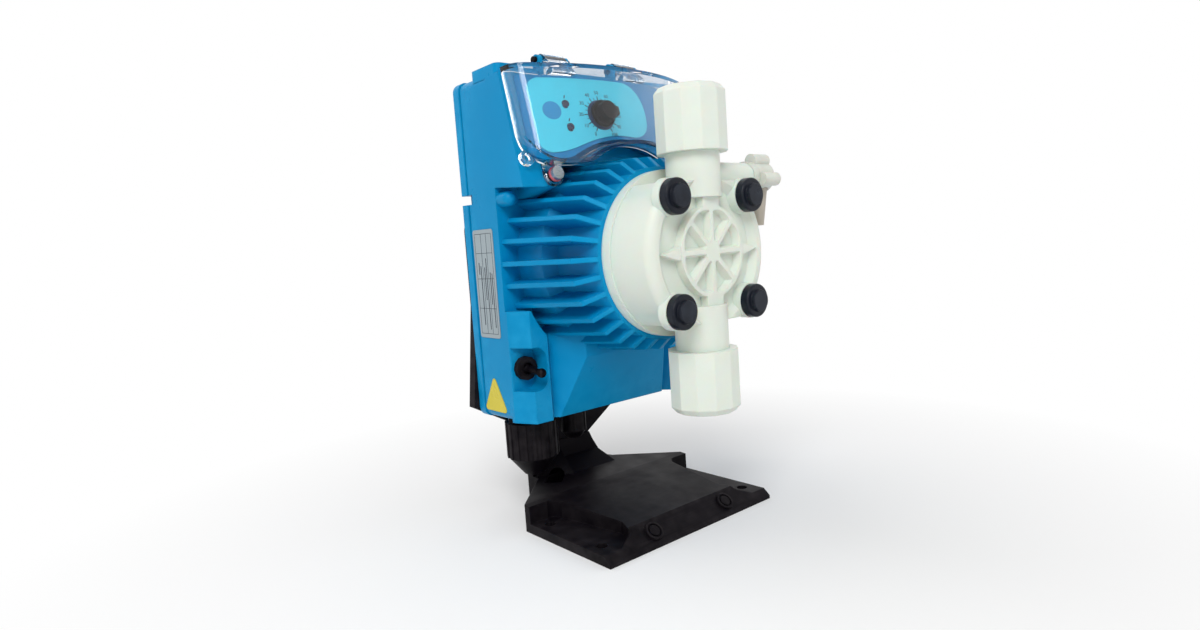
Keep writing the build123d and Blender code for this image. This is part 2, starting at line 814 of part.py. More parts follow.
# ---------------------------------------------------------------- clear cover
cover_outer = bowed_slab(cover_apex, cover_back, cover_half, cover_corner)
cover_inner = bowed_slab(
    cover_apex + cover_wall,
    cover_back + 4,
    cover_half - cover_wall,
    cover_corner - cover_wall,
)
outer_window = window(0, cover_half, cover_apex - cover_lead, cover_back)
inner_window = window(cover_wall, cover_half, cover_apex - cover_lead, cover_back + 4)
rim_relief = bowed_slab(
    at_height(panel_apex, knob_z) - 2 * joint_gap,
    cover_back + 9,
    panel_half + 1,
    fascia_corner,
    knob_z,
)
with BuildPart() as cover:
    add(cover_outer & outer_window)
    add(cover_inner & inner_window, mode=Mode.SUBTRACT)
    # the lower rim stops short of the fascia, so that the cover swings clear of it
    add(rim_relief, mode=Mode.SUBTRACT)
    # screw ears on the lower rim
    for x in (-ear_x, ear_x):
        with BuildSketch(ear_plane(x).offset(joint_gap)) as ear:
            Circle(ear_r)
            with Locations((0, ear_neck / 2)):
                Rectangle(2 * ear_r, ear_neck)
        extrude(amount=ear_thickness)
        with BuildSketch(ear_plane(x).offset(joint_gap)) as ear_bridge:
            with Locations((0, ear_neck - cover_wall / 2)):
                Rectangle(2 * ear_r, cover_wall)
        extrude(amount=ear_thickness + ear_bridge_reach)
        with BuildSketch(ear_plane(x).offset(joint_gap)) as ear_hole:
            Circle(ear_screw_r + slip_fit)
        extrude(amount=ear_thickness, mode=Mode.SUBTRACT)
    # spare lugs at the lower corners
    for x in (-loop_x, loop_x):
        with BuildSketch(ear_plane(x, loop_z).offset(joint_gap)) as loop:
            Circle(loop_r)
        extrude(amount=ear_thickness)
        with BuildSketch(ear_plane(x, loop_z).offset(joint_gap)) as loop_hole:
            Circle(ear_screw_r + slip_fit)
        extrude(amount=ear_thickness, mode=Mode.SUBTRACT)
    # hinge clips on the upper rim
    for x in (-clip_x, clip_x):
        with BuildSketch(Plane.YZ.offset(x - clip_width / 2)) as clip:
            with BuildLine():
                Polyline(
                    (cover_back - 7, case_roof - cover_wall),
                    (cover_back - 7, case_roof + 1),
                    (hinge_y - hinge_lug_r, hinge_z + 1.5),
                    (hinge_y - 1, hinge_z + hinge_lug_r - 0.3),
                    (hinge_y, hinge_z),
                    (hinge_y - hinge_lug_r + 0.2, hinge_z - 1.5),
                    (cover_back - 1.5, case_roof - cover_wall),
                    close=True,
                )
            make_face()
            with Locations((hinge_y, hinge_z)):
                Circle(hinge_lug_r)
            with Locations((hinge_y, hinge_z)):
                Circle(hinge_pin_r + running_fit, mode=Mode.SUBTRACT)
        extrude(amount=clip_width)
finish(cover.part, "clear_cover", CLEAR)

with BuildPart() as hinge_pins:
    for x in (-clip_x, clip_x):
        with BuildSketch(Plane.YZ.offset(x - pin_half_length)):
            with Locations((hinge_y, hinge_z)):
                Circle(hinge_pin_r)
        extrude(amount=2 * pin_half_length)
finish(hinge_pins.part, "hinge_pins", BLACK)

with BuildPart() as cover_screws:
    for x in (-ear_x, ear_x):
        with BuildSketch(ear_plane(x).offset(joint_gap + ear_thickness + seal_ring_height)):
            Circle(ear_head_r)
        extrude(amount=ear_head_height)
        with BuildSketch(ear_plane(x).offset(joint_gap + ear_thickness + seal_ring_height)):
            Circle(ear_screw_r)
        extrude(amount=-(ear_thickness + seal_ring_height + joint_gap + 1.2))
finish(cover_screws.part, "cover_screws", STEEL)

with BuildPart() as screw_seals:
    for x in (-ear_x, ear_x):
        with BuildSketch(ear_plane(x).offset(joint_gap + ear_thickness)):
            Circle(ear_head_r + seal_ring_margin)
            Circle(ear_screw_r + slip_fit, mode=Mode.SUBTRACT)
        extrude(amount=seal_ring_height)
finish(screw_seals.part, "screw_seals", (0.85, 0.3, 0.35))

# ---------------------------------------------------------------- toggle switch
with BuildPart() as switch_body:
    with BuildSketch(front_plane(side_front + wall + switch_depth)):
        with Locations((-toggle_x, pocket_z)):
            RectangleRounded(switch_width, switch_height, 1)
    extrude(amount=switch_depth - joint_gap)
    with BuildSketch(front_plane(side_front + wall + joint_gap)):
        with Locations((-toggle_x, pocket_z)):
            Circle(toggle_bush_r)
    extrude(amount=side_front + wall + joint_gap - pocket_floor + toggle_ring_length)
    with BuildSketch(front_plane(pocket_floor - toggle_ring_length)):
        with Locations((-toggle_x, pocket_z)):
            Circle(toggle_bush_r - 0.4)
    extrude(amount=-toggle_socket, mode=Mode.SUBTRACT)
finish(switch_body.part, "switch_body", BLACK)

with BuildPart() as switch_ring:
    with BuildSketch(front_plane(pocket_floor)):
        with Locations((-toggle_x, pocket_z)):
            RegularPolygon(toggle_ring_r, 12)
            Circle(toggle_bush_r + slip_fit, mode=Mode.SUBTRACT)
    extrude(amount=toggle_ring_length - 0.4)
finish(switch_ring.part, "switch_ring", BLACK)

# the lever droops from its pivot, which lies inside the bush
toggle_pivot = (-toggle_x, pocket_floor - toggle_ring_length + 0.6, pocket_z)
lever_dir = (0, -cos(radians(toggle_droop)), -sin(radians(toggle_droop)))
with BuildPart() as lever:
    with BuildSketch(Plane(origin=toggle_pivot, x_dir=(1, 0, 0), z_dir=lever_dir)):
        Circle(1.5)
    extrude(amount=toggle_length - toggle_tip_r)
    with BuildSketch(Plane(origin=toggle_pivot, x_dir=(1, 0, 0), z_dir=lever_dir).offset(toggle_length - 5)):
        Circle(1.5)
    extrude(amount=5 - toggle_tip_r, taper=-14)
    with Locations(Vector(*toggle_pivot) + Vector(*lever_dir) * (toggle_length - toggle_tip_r)):
        Sphere(toggle_tip_r)
    with Locations(toggle_pivot):
        Sphere(2.0)
    with BuildSketch(Plane.YZ.offset(-toggle_x)):
        with Locations((toggle_pivot[1], toggle_pivot[2])):
            Circle(toggle_pin_r)
    extrude(amount=toggle_pin_half, both=True)
finish(lever.part, "toggle_lever", BLACK)

# ---------------------------------------------------------------- cable glands


def gland(name, place, nut_r, levels, thread_r, cable_r, flutes):
    """Cable gland: threaded body with a hexagon, split seal, and a fluted dome nut below."""
    tip, shoulder, top = levels
    hex_height = case_floor - top
    with BuildPart() as body:
        with BuildSketch(Plane.XY.offset(top)):
            with Locations(place):
                RegularPolygon(nut_r * 0.98, 6)
        extrude(amount=hex_height - 0.01)
        with BuildSketch(Plane.XY.offset(top)):
            with Locations(place):
                Circle(thread_r)
        extrude(amount=hex_height + wall + gland_inside)
        with BuildSketch(Plane.XY.offset(shoulder + 3)):
            with Locations(place):
                Circle(thread_r)
        extrude(amount=top - shoulder - 3)
        with BuildSketch(Plane.XY.offset(shoulder)):
            with Locations(place):
                Circle(cable_r + 2)
        extrude(amount=case_floor + wall + 5 - shoulder, mode=Mode.SUBTRACT)
    finish(body.part, f"{name}_gland_body", BLACK)
    with BuildPart() as nut:
        with BuildSketch(Plane.XY.offset(shoulder)):
            with Locations(place):
                Circle(nut_r - 0.5)
        extrude(amount=top - joint_gap - shoulder)
        with BuildSketch(Plane.XY.offset(shoulder)):
            with Locations(place):
                Circle(nut_r - 0.5)
        with BuildSketch(Plane.XY.offset(tip)):
            with Locations(place):
                Circle(cable_r + 1.6)
        loft()
        with BuildSketch(Plane.XY.offset(shoulder)):
            with Locations(place):
                with PolarLocations(nut_r - 0.6, flutes):
                    Rectangle(1.2, nut_r * 0.14)
        extrude(amount=top - joint_gap - shoulder)
        with BuildSketch(Plane.XY.offset(shoulder)):
            with Locations(place):
                Circle(thread_r + slip_fit)
        extrude(amount=top - shoulder, mode=Mode.SUBTRACT)
        with BuildSketch(Plane.XY.offset(tip)):
            with Locations(place):
                Circle(cable_r)
        extrude(amount=shoulder - tip, mode=Mode.SUBTRACT)
    finish(nut.part, f"{name}_gland_nut", BLACK)
    with BuildPart() as seal:
        with BuildSketch(Plane.XY.offset(shoulder + 0.05)):
            with Locations(place):
                Circle(cable_r + 1.9)
                Circle(cable_r, mode=Mode.SUBTRACT)
        extrude(amount=(top - shoulder) * 0.7)
    finish(seal.part, f"{name}_gland_seal", RUBBER)


gland("power", power_gland, power_gland_r, power_gland_z, power_thread_r, power_cable_r, 18)
gland("signal", signal_gland, signal_gland_r, signal_gland_z, signal_thread_r, signal_cable_r, 6)

# ---------------------------------------------------------------- plates on the left side
with BuildPart() as rating_plate:
    with BuildSketch(Plane.YZ.offset(-half_width)) as plate_outline:
        with Locations((label_centre[0], label_centre[1])):
            RectangleRounded(label_size[0], label_size[1], 1.5)
    extrude(amount=-label_thickness)
finish(rating_plate.part, "rating_plate", (0.72, 0.74, 0.76))

with BuildPart() as side_sticker:
    with BuildSketch(Plane.YZ.offset(-half_width)) as sticker_outline:
        with Locations(sticker_centre):
            RegularPolygon(sticker_r, 3, rotation=90)
        fillet(sticker_outline.vertices(), 1.5)
    extrude(amount=-label_thickness)
finish(side_sticker.part, "side_sticker", (0.95, 0.85, 0.2))

# ---------------------------------------------------------------- pump head
with BuildPart() as spacer:
    with BuildSketch(front_plane(ring_front)):
        with Locations((0, head_z)):
            Circle(spacer_r)
            Circle(diaphragm_hub_r + 6, mode=Mode.SUBTRACT)
        with Locations(*bolt_places):
            Circle(bolt_r + slip_fit, mode=Mode.SUBTRACT)
    extrude(amount=spacer_length)
finish(spacer.part, "head_spacer", IVORY)

with BuildPart() as head:
    # barrel with a rounded front edge and a dished face
    with BuildSketch(Plane.YZ) as barrel_profile:
        with BuildLine():
            Line((spacer_front, head_z), (spacer_front, head_z + head_r))
            Line((spacer_front, head_z + head_r), (head_face + head_edge, head_z + head_r))
            RadiusArc(
                (head_face + head_edge, head_z + head_r),
                (head_face, head_z + head_r - head_edge),
                -head_edge,
            )
            Polyline(
                (head_face, head_z + head_r - head_edge),
                (head_face, head_z + rim_r),
                (head_face + dish_depth, head_z + rim_r - dish_depth),
                (head_face + dish_depth, head_z),
                (spacer_front, head_z),
            )
        make_face()
    revolve(axis=Axis((0, 0, head_z), (0, 1, 0)))
    with BuildSketch(front_plane(spacer_front)) as flats:
        with Locations((0, head_z)):
            Circle(head_r + 1)
            Rectangle(3 * head_r, 2 * head_flat, mode=Mode.SUBTRACT)
    extrude(amount=spacer_front - head_face, mode=Mode.SUBTRACT)
    # bolt bosses and hub
    with BuildSketch(front_plane(head_face + dish_depth)) as bosses:
        with Locations(*bolt_places):
            Circle(boss_r)
    extrude(amount=head_face + dish_depth - boss_front)
    with BuildSketch(front_plane(head_face + dish_depth)) as hub:
        with Locations((0, head_z)):
            Circle(hub_r)
    extrude(amount=head_face + dish_depth - hub_front)
    # spikes that tie the hub to the rim at either side
    for side in (-1, 1):
        with BuildSketch(front_plane(head_face + dish_depth)) as spike:
            with BuildLine():
                Polyline(
                    (side * (hub_r - 1), head_z + 3),
                    (side * (rim_r - 1), head_z),
                    (side * (hub_r - 1), head_z - 3),
                    close=True,
                )
            make_face()
        extrude(amount=head_face + dish_depth - hub_front - 0.6)
    # a neck above and below, each tied to the hub by a short bridge
    for side in (-1, 1):
        neck_plane = Plane(origin=(0, 0, head_z), x_dir=(1, 0, 0), z_dir=(0, 0, side))
        with BuildSketch(neck_plane.offset(neck_foot)) as neck:
            with Locations((0, side * column_y)):
                Circle(column_r)
        extrude(amount=neck_reach - neck_foot)
        with BuildSketch(front_plane(head_face + dish_depth)) as bridge:
            with Locations((0, head_z + side * (hub_r + neck_foot) / 2)):
                Rectangle(2 * bridge_half, neck_foot - hub_r + 4)
        extrude(amount=head_face + dish_depth - hub_front)
    # petal pockets in the hub, deeper outwards, with a rib left between each two
    for index in range(petal_count):
        turn = (index + 0.5) * 360 / petal_count
        near = petal_inner * tan(radians(180 / petal_count)) - rib_thickness / 2
        far = petal_outer * tan(radians(180 / petal_count)) - rib_thickness / 2
        petal_plane = Plane(
            origin=(0, hub_front, head_z),
            x_dir=(cos(radians(turn)), 0, sin(radians(turn))),
            z_dir=(0, -1, 0),
        )
        with BuildSketch(petal_plane) as petal:
            with BuildLine():
                Polyline((petal_outer, -far), (petal_inner, -near), (petal_inner, near), (petal_outer, far))
                ThreePointArc((petal_outer, far), (petal_outer + 1.8, 0), (petal_outer, -far))
            make_face()
        extrude(amount=-petal_depth, taper=16, mode=Mode.SUBTRACT)
    # diaphragm seat and pumping chamber behind
    with BuildSketch(front_plane(spacer_front)) as diaphragm_seat:
        with Locations((0, head_z)):
            Circle(diaphragm_r + joint_gap)
        with Locations(*bolt_places):
            Circle(bolt_r + 2, mode=Mode.SUBTRACT)
    extrude(amount=diaphragm_thickness, mode=Mode.SUBTRACT)
    with BuildSketch(front_plane(spacer_front - diaphragm_thickness)) as chamber:
        with Locations((0, head_z)):
            Circle(chamber_r)
    extrude(amount=chamber_depth, taper=20, mode=Mode.SUBTRACT)
    with BuildSketch(front_plane(spacer_front - diaphragm_thickness - chamber_depth)) as inlet:
        with Locations((0, head_z)):
            Circle(duct_r)
    extrude(amount=spacer_front - diaphragm_thickness - chamber_depth - column_y, mode=Mode.SUBTRACT)
    # upright duct and the valve pockets at its ends
    with BuildSketch(Plane.XY.offset(head_z - neck_reach)) as duct:
        with Locations((0, column_y)):
            Circle(duct_r)
    extrude(amount=2 * neck_reach, mode=Mode.SUBTRACT)
    for level in (head_z - neck_reach, head_z + valve_seat_floor):
        with BuildSketch(Plane.XY.offset(level)) as valve_pocket:
            with Locations((0, column_y)):
                Circle(valve_r + slip_fit)
        extrude(amount=neck_reach - valve_seat_floor, mode=Mode.SUBTRACT)
    # bleed valve boss on the right of the column
    with BuildSketch(Plane.YZ) as bleed_boss:
        with Locations((column_y, bleed_z)):
            Circle(bleed_body_r)
            Circle(bleed_duct_r, mode=Mode.SUBTRACT)
    extrude(amount=bleed_boss_end)
    with BuildSketch(Plane.YZ) as bleed_duct:
        with Locations((column_y, bleed_z)):
            Circle(bleed_duct_r)
    extrude(amount=bleed_boss_end, mode=Mode.SUBTRACT)
    # bolt holes and the recesses for the bolt heads
    with BuildSketch(front_plane(spacer_front)) as head_bolt_holes:
        with Locations(*bolt_places):
            Circle(bolt_r + slip_fit)
    extrude(amount=spacer_front - boss_front, mode=Mode.SUBTRACT)
    with BuildSketch(front_plane(bolt_seat)) as bolt_recesses:
        with Locations(*bolt_places):
            Circle(bolt_head_r + 1)
    extrude(amount=bolt_seat - boss_front, mode=Mode.SUBTRACT)
finish(head.part, "pump_head", IVORY)

with BuildPart() as bolts:
    with BuildSketch(front_plane(bolt_seat)) as bolt_heads:
        with Locations(*bolt_places):
            Circle(bolt_head_r)
    extrude(amount=bolt_head_height)
    with BuildSketch(front_plane(bolt_tip - 0.5)) as bolt_shanks:
        with Locations(*bolt_places):
            Circle(bolt_r)
    extrude(amount=bolt_tip - 0.5 - bolt_seat)
    with BuildSketch(front_plane(bolt_seat - bolt_head_height)) as bolt_sockets:
        with Locations(*bolt_places):
            RegularPolygon(2.5, 6)
    extrude(amount=-2.5, mode=Mode.SUBTRACT)
finish(bolts.part, "head_bolts", STEEL)

with BuildPart() as caps:
    with BuildSketch(front_plane(boss_front)) as cap_discs:
        with Locations(*bolt_places):
            Circle(cap_r)
    extrude(amount=cap_height)
    fillet(caps.faces().sort_by(Axis.Y)[0:4].edges(), 0.8)
    with BuildSketch(front_plane(boss_front - cap_height)) as cap_buttons:
        with Locations(*bolt_places):
            Circle(cap_button_r)
    extrude(amount=cap_button_height, taper=12)
    with BuildSketch(front_plane(boss_front)) as cap_spigots:
        with Locations(*bolt_places):
            Circle(bolt_head_r + 1 - slip_fit)
    extrude(amount=-cap_spigot)
finish(caps.part, "bolt_caps", (0.05, 0.06, 0.1))

# ---------------------------------------------------------------- valves and hose connections


def valve_stack(name, pocket_floor_z):
    """Seat, ball and cage of one valve, flow upwards, filling a pocket that starts at a height."""
    seat_low = pocket_floor_z + 2 * o_ring_r
    seat_high = seat_low + seat_height
    ball_z = seat_high + sqrt((ball_r + running_fit) ** 2 - valve_port_r**2)
    cage_high = ball_z + ball_r + ball_travel + joint_gap + cage_roof
    with BuildPart() as seat:
        with BuildSketch(Plane.XY.offset(seat_low)):
            with Locations((0, column_y)):
                Circle(valve_r)
                Circle(valve_port_r, mode=Mode.SUBTRACT)
        extrude(amount=seat_height)
    finish(seat.part, f"{name}_seat", (0.35, 0.3, 0.28))
    with BuildPart() as cage:
        with BuildSketch(Plane.XY.offset(seat_high)):
            with Locations((0, column_y)):
                Circle(valve_r)
                Circle(valve_bore_r, mode=Mode.SUBTRACT)
        extrude(amount=cage_high - seat_high)
        with BuildSketch(Plane.XY.offset(cage_high - cage_roof)):
            with Locations((0, column_y)):
                Circle(valve_bore_r)
                Circle(valve_port_r, mode=Mode.SUBTRACT)
        extrude(amount=cage_roof)
    finish(cage.part, f"{name}_cage", IVORY)
    with BuildPart() as ball:
        with Locations((0, column_y, ball_z)):
            Sphere(ball_r)
    finish(ball.part, f"{name}_ball", (0.9, 0.9, 0.88))
    with BuildPart() as ring:
        with BuildSketch(Plane.XZ.offset(-column_y)):
            with Locations((valve_r - o_ring_r - 0.2, seat_low - o_ring_r)):
                Circle(o_ring_r - 0.02)
        revolve(axis=Axis((0, column_y, 0), (0, 0, 1)))
    finish(ring.part, f"{name}_o_ring", RUBBER)


valve_stack("suction", head_z - neck_reach + slip_fit)
valve_stack("discharge", head_z + valve_seat_floor + slip_fit)


def hose_joint(name, side):
    """Nut, nozzle and clamp ring at one end of the valve column; side is -1 below and 1 above."""
    along = Plane(origin=(0, column_y, head_z), x_dir=(1, 0, 0), z_dir=(0, 0, side))
    with BuildPart() as nut:
        with BuildSketch(along.offset(nut_inner)):
            RegularPolygon(nut_r, nut_sides)
        extrude(amount=nut_outer - nut_inner - nut_chamfer)
        with BuildSketch(along.offset(nut_outer - nut_chamfer)):
            RegularPolygon(nut_r, nut_sides)
        extrude(amount=nut_chamfer, taper=40)
        with BuildSketch(along.offset(nut_inner)):
            Circle(column_r + slip_fit)
        extrude(amount=nut_outer - nut_inner - nut_end_wall, mode=Mode.SUBTRACT)
        with BuildSketch(along.offset(nut_outer - nut_end_wall)):
            Circle(hose_r)
        extrude(amount=nut_end_wall, mode=Mode.SUBTRACT)
    finish(nut.part, f"{name}_nut", IVORY)
    nozzle_base = neck_reach + nozzle_lift
    with BuildPart() as nozzle:
        with BuildSketch(along.offset(nozzle_base)):
            Circle(column_r)
        extrude(amount=nozzle_flange)
        with BuildSketch(along.offset(nozzle_base + nozzle_flange)):
            Circle(hose_r - 1.6)
        extrude(amount=nut_outer - nut_end_wall - nozzle_base - nozzle_flange - joint_gap, taper=12)
        with BuildSketch(along.offset(nozzle_base)):
            Circle(valve_port_r)
        extrude(amount=nut_outer - nut_end_wall - nozzle_base, mode=Mode.SUBTRACT)
    finish(nozzle.part, f"{name}_nozzle", IVORY)
    with BuildPart() as clamp:
        with BuildSketch(along.offset(nozzle_base + nozzle_flange)):
            Circle(column_r)
            Circle(hose_r + 0.4, mode=Mode.SUBTRACT)
        extrude(amount=nut_outer - nut_end_wall - nozzle_base - nozzle_flange - 0.05)
    finish(clamp.part, f"{name}_clamp_ring", IVORY)


hose_joint("suction", -1)
hose_joint("discharge", 1)

# ---------------------------------------------------------------- bleed valve
with BuildPart() as bleed_body:
    with BuildSketch(Plane.YZ.offset(bleed_boss_end)):
        with Locations((column_y, bleed_z)):
            Circle(bleed_body_r + 0.6)
    extrude(amount=bleed_body_end - bleed_boss_end)
    with BuildSketch(Plane.YZ.offset(bleed_boss_end)):
        with Locations((column_y, bleed_z)):
            Circle(bleed_duct_r - slip_fit)
    extrude(amount=-6)
    with BuildSketch(Plane.YZ.offset(bleed_body_end)):
        with Locations((column_y, bleed_z)):
            Circle(bleed_stem_r)
    extrude(amount=bleed_knob_end - bleed_body_end - 2)
    with BuildSketch(Plane.YZ.offset(bleed_boss_end - 6)):
        with Locations((column_y, bleed_z)):
            Circle(1.0)
    extrude(amount=bleed_nozzle_x - bleed_boss_end + 6, mode=Mode.SUBTRACT)
finish(bleed_body.part, "bleed_body", (0.82, 0.83, 0.8))

with BuildPart() as bleed_knob:
    with BuildSketch(Plane.YZ.offset(bleed_body_end + joint_gap)):
        with Locations((column_y, bleed_z)):
            Circle(bleed_knob_r - 3.6)
            with PolarLocations(bleed_knob_r - 3.0, bleed_lobes, start_angle=12):
                Circle(3.0)
    extrude(amount=bleed_knob_end - bleed_body_end - joint_gap)
    with BuildSketch(Plane.YZ.offset(bleed_body_end)):
        with Locations((column_y, bleed_z)):
            Circle(bleed_stem_r + running_fit)
    extrude(amount=bleed_knob_end - bleed_body_end - 2 + joint_gap, mode=Mode.SUBTRACT)
    with BuildSketch(Plane.XY.offset(bleed_z - bleed_knob_r - 1)):
        with Locations((bleed_nozzle_x, column_y)):
            Circle(bleed_nozzle_root_r)
    extrude(amount=bleed_knob_r + 1 - bleed_stem_r - 1.5, mode=Mode.SUBTRACT)
finish(bleed_knob.part, "bleed_knob", (0.85, 0.86, 0.84))

with BuildPart() as bleed_nozzle:
    with BuildSketch(Plane.XY.offset(bleed_z - bleed_stem_r - 1.5)):
        with Locations((bleed_nozzle_x, column_y)):
            Circle(bleed_nozzle_root_r)
    with BuildSketch(Plane.XY.offset(bleed_z - bleed_nozzle_tip)):
        with Locations((bleed_nozzle_x, column_y)):
            Circle(bleed_nozzle_tip_r)
    loft()
    with BuildSketch(Plane.XY.offset(bleed_z - bleed_stem_r - 1.5)):
        with Locations((bleed_nozzle_x, column_y)):
            Circle(1.0)
    extrude(amount=-bleed_nozzle_tip, mode=Mode.SUBTRACT)
finish(bleed_nozzle.part, "bleed_nozzle", (0.7, 0.64, 0.56))

# ---------------------------------------------------------------- solenoid drive
drive_axis = (0, head_z)


def drive_tube(part_plane_y, length, outer, inner=None):
    """Ring or disc round the drive axis, from a plane towards the front, in the open part."""
    with BuildSketch(front_plane(part_plane_y)) as section:
        with Locations(drive_axis):
            Circle(outer)
            if inner:
                Circle(inner, mode=Mode.SUBTRACT)
    extrude(section.sketch, amount=length)


with BuildPart() as yoke:
    drive_tube(yoke_back, yoke_back - drive_floor, yoke_r, yoke_bore_r)
    drive_tube(yoke_back, yoke_end, yoke_bore_r, plunger_r + joint_gap)
finish(yoke.part, "magnet_yoke", STEEL)

with BuildPart() as pole:
    drive_tube(coil_front - bobbin_flange - joint_gap, coil_front - bobbin_flange - joint_gap - drive_floor,
               yoke_bore_r - slip_fit, rod_r + running_fit)
    drive_tube(pole_rear, pole_rear - coil_front + bobbin_flange + joint_gap,
               bobbin_bore_r - slip_fit, rod_r + running_fit)
    with BuildSketch(front_plane(pole_rear)) as spring_seat:
        with Locations(drive_axis):
            Circle(spring_r + spring_wire + 0.4)
    extrude(amount=spring_pocket, mode=Mode.SUBTRACT)
finish(pole.part, "pole_piece", STEEL)

with BuildPart() as bobbin:
    drive_tube(coil_back, coil_length, bobbin_bore_r + bobbin_wall, bobbin_bore_r)
    drive_tube(coil_back + bobbin_flange, bobbin_flange, yoke_bore_r - 0.5, bobbin_bore_r)
    drive_tube(coil_front, bobbin_flange, yoke_bore_r - 0.5, bobbin_bore_r)
finish(bobbin.part, "coil_bobbin", (0.2, 0.2, 0.2))

with BuildPart() as coil:
    drive_tube(coil_back, coil_length, coil_r, bobbin_bore_r + bobbin_wall)
finish(coil.part, "solenoid_coil", COPPER)

with BuildPart() as plunger:
    drive_tube(pole_rear + plunger_gap + plunger_length, plunger_length, plunger_r)
    drive_tube(pole_rear + plunger_gap + plunger_length, plunger_length - 6, rod_r)
finish(plunger.part, "plunger", STEEL)

with BuildPart() as rod:
    drive_tube(pole_rear + plunger_gap, pole_rear + plunger_gap - rod_front, rod_r)
finish(rod.part, "push_rod", STEEL)

first_turn = pole_rear - spring_pocket + spring_wire + 0.1
with BuildPart() as spring:
    for turn in range(3):
        with BuildSketch(Plane.YZ):
            with Locations((first_turn + turn * spring_pitch, head_z + spring_r)):
                Circle(spring_wire - 0.02)
        revolve(axis=Axis((0, 0, head_z), (0, 1, 0)))
finish(spring.part, "return_spring", STEEL)

with BuildPart() as diaphragm:
    drive_tube(spacer_front, diaphragm_thickness, diaphragm_r)
    with BuildSketch(front_plane(spacer_front)):
        with Locations(*bolt_places):
            Circle(bolt_r + 2 + joint_gap)
    extrude(amount=diaphragm_thickness, mode=Mode.SUBTRACT)
    drive_tube(rod_front, rod_front - spacer_front, diaphragm_hub_r)
finish(diaphragm.part, "diaphragm", (0.93, 0.93, 0.9))

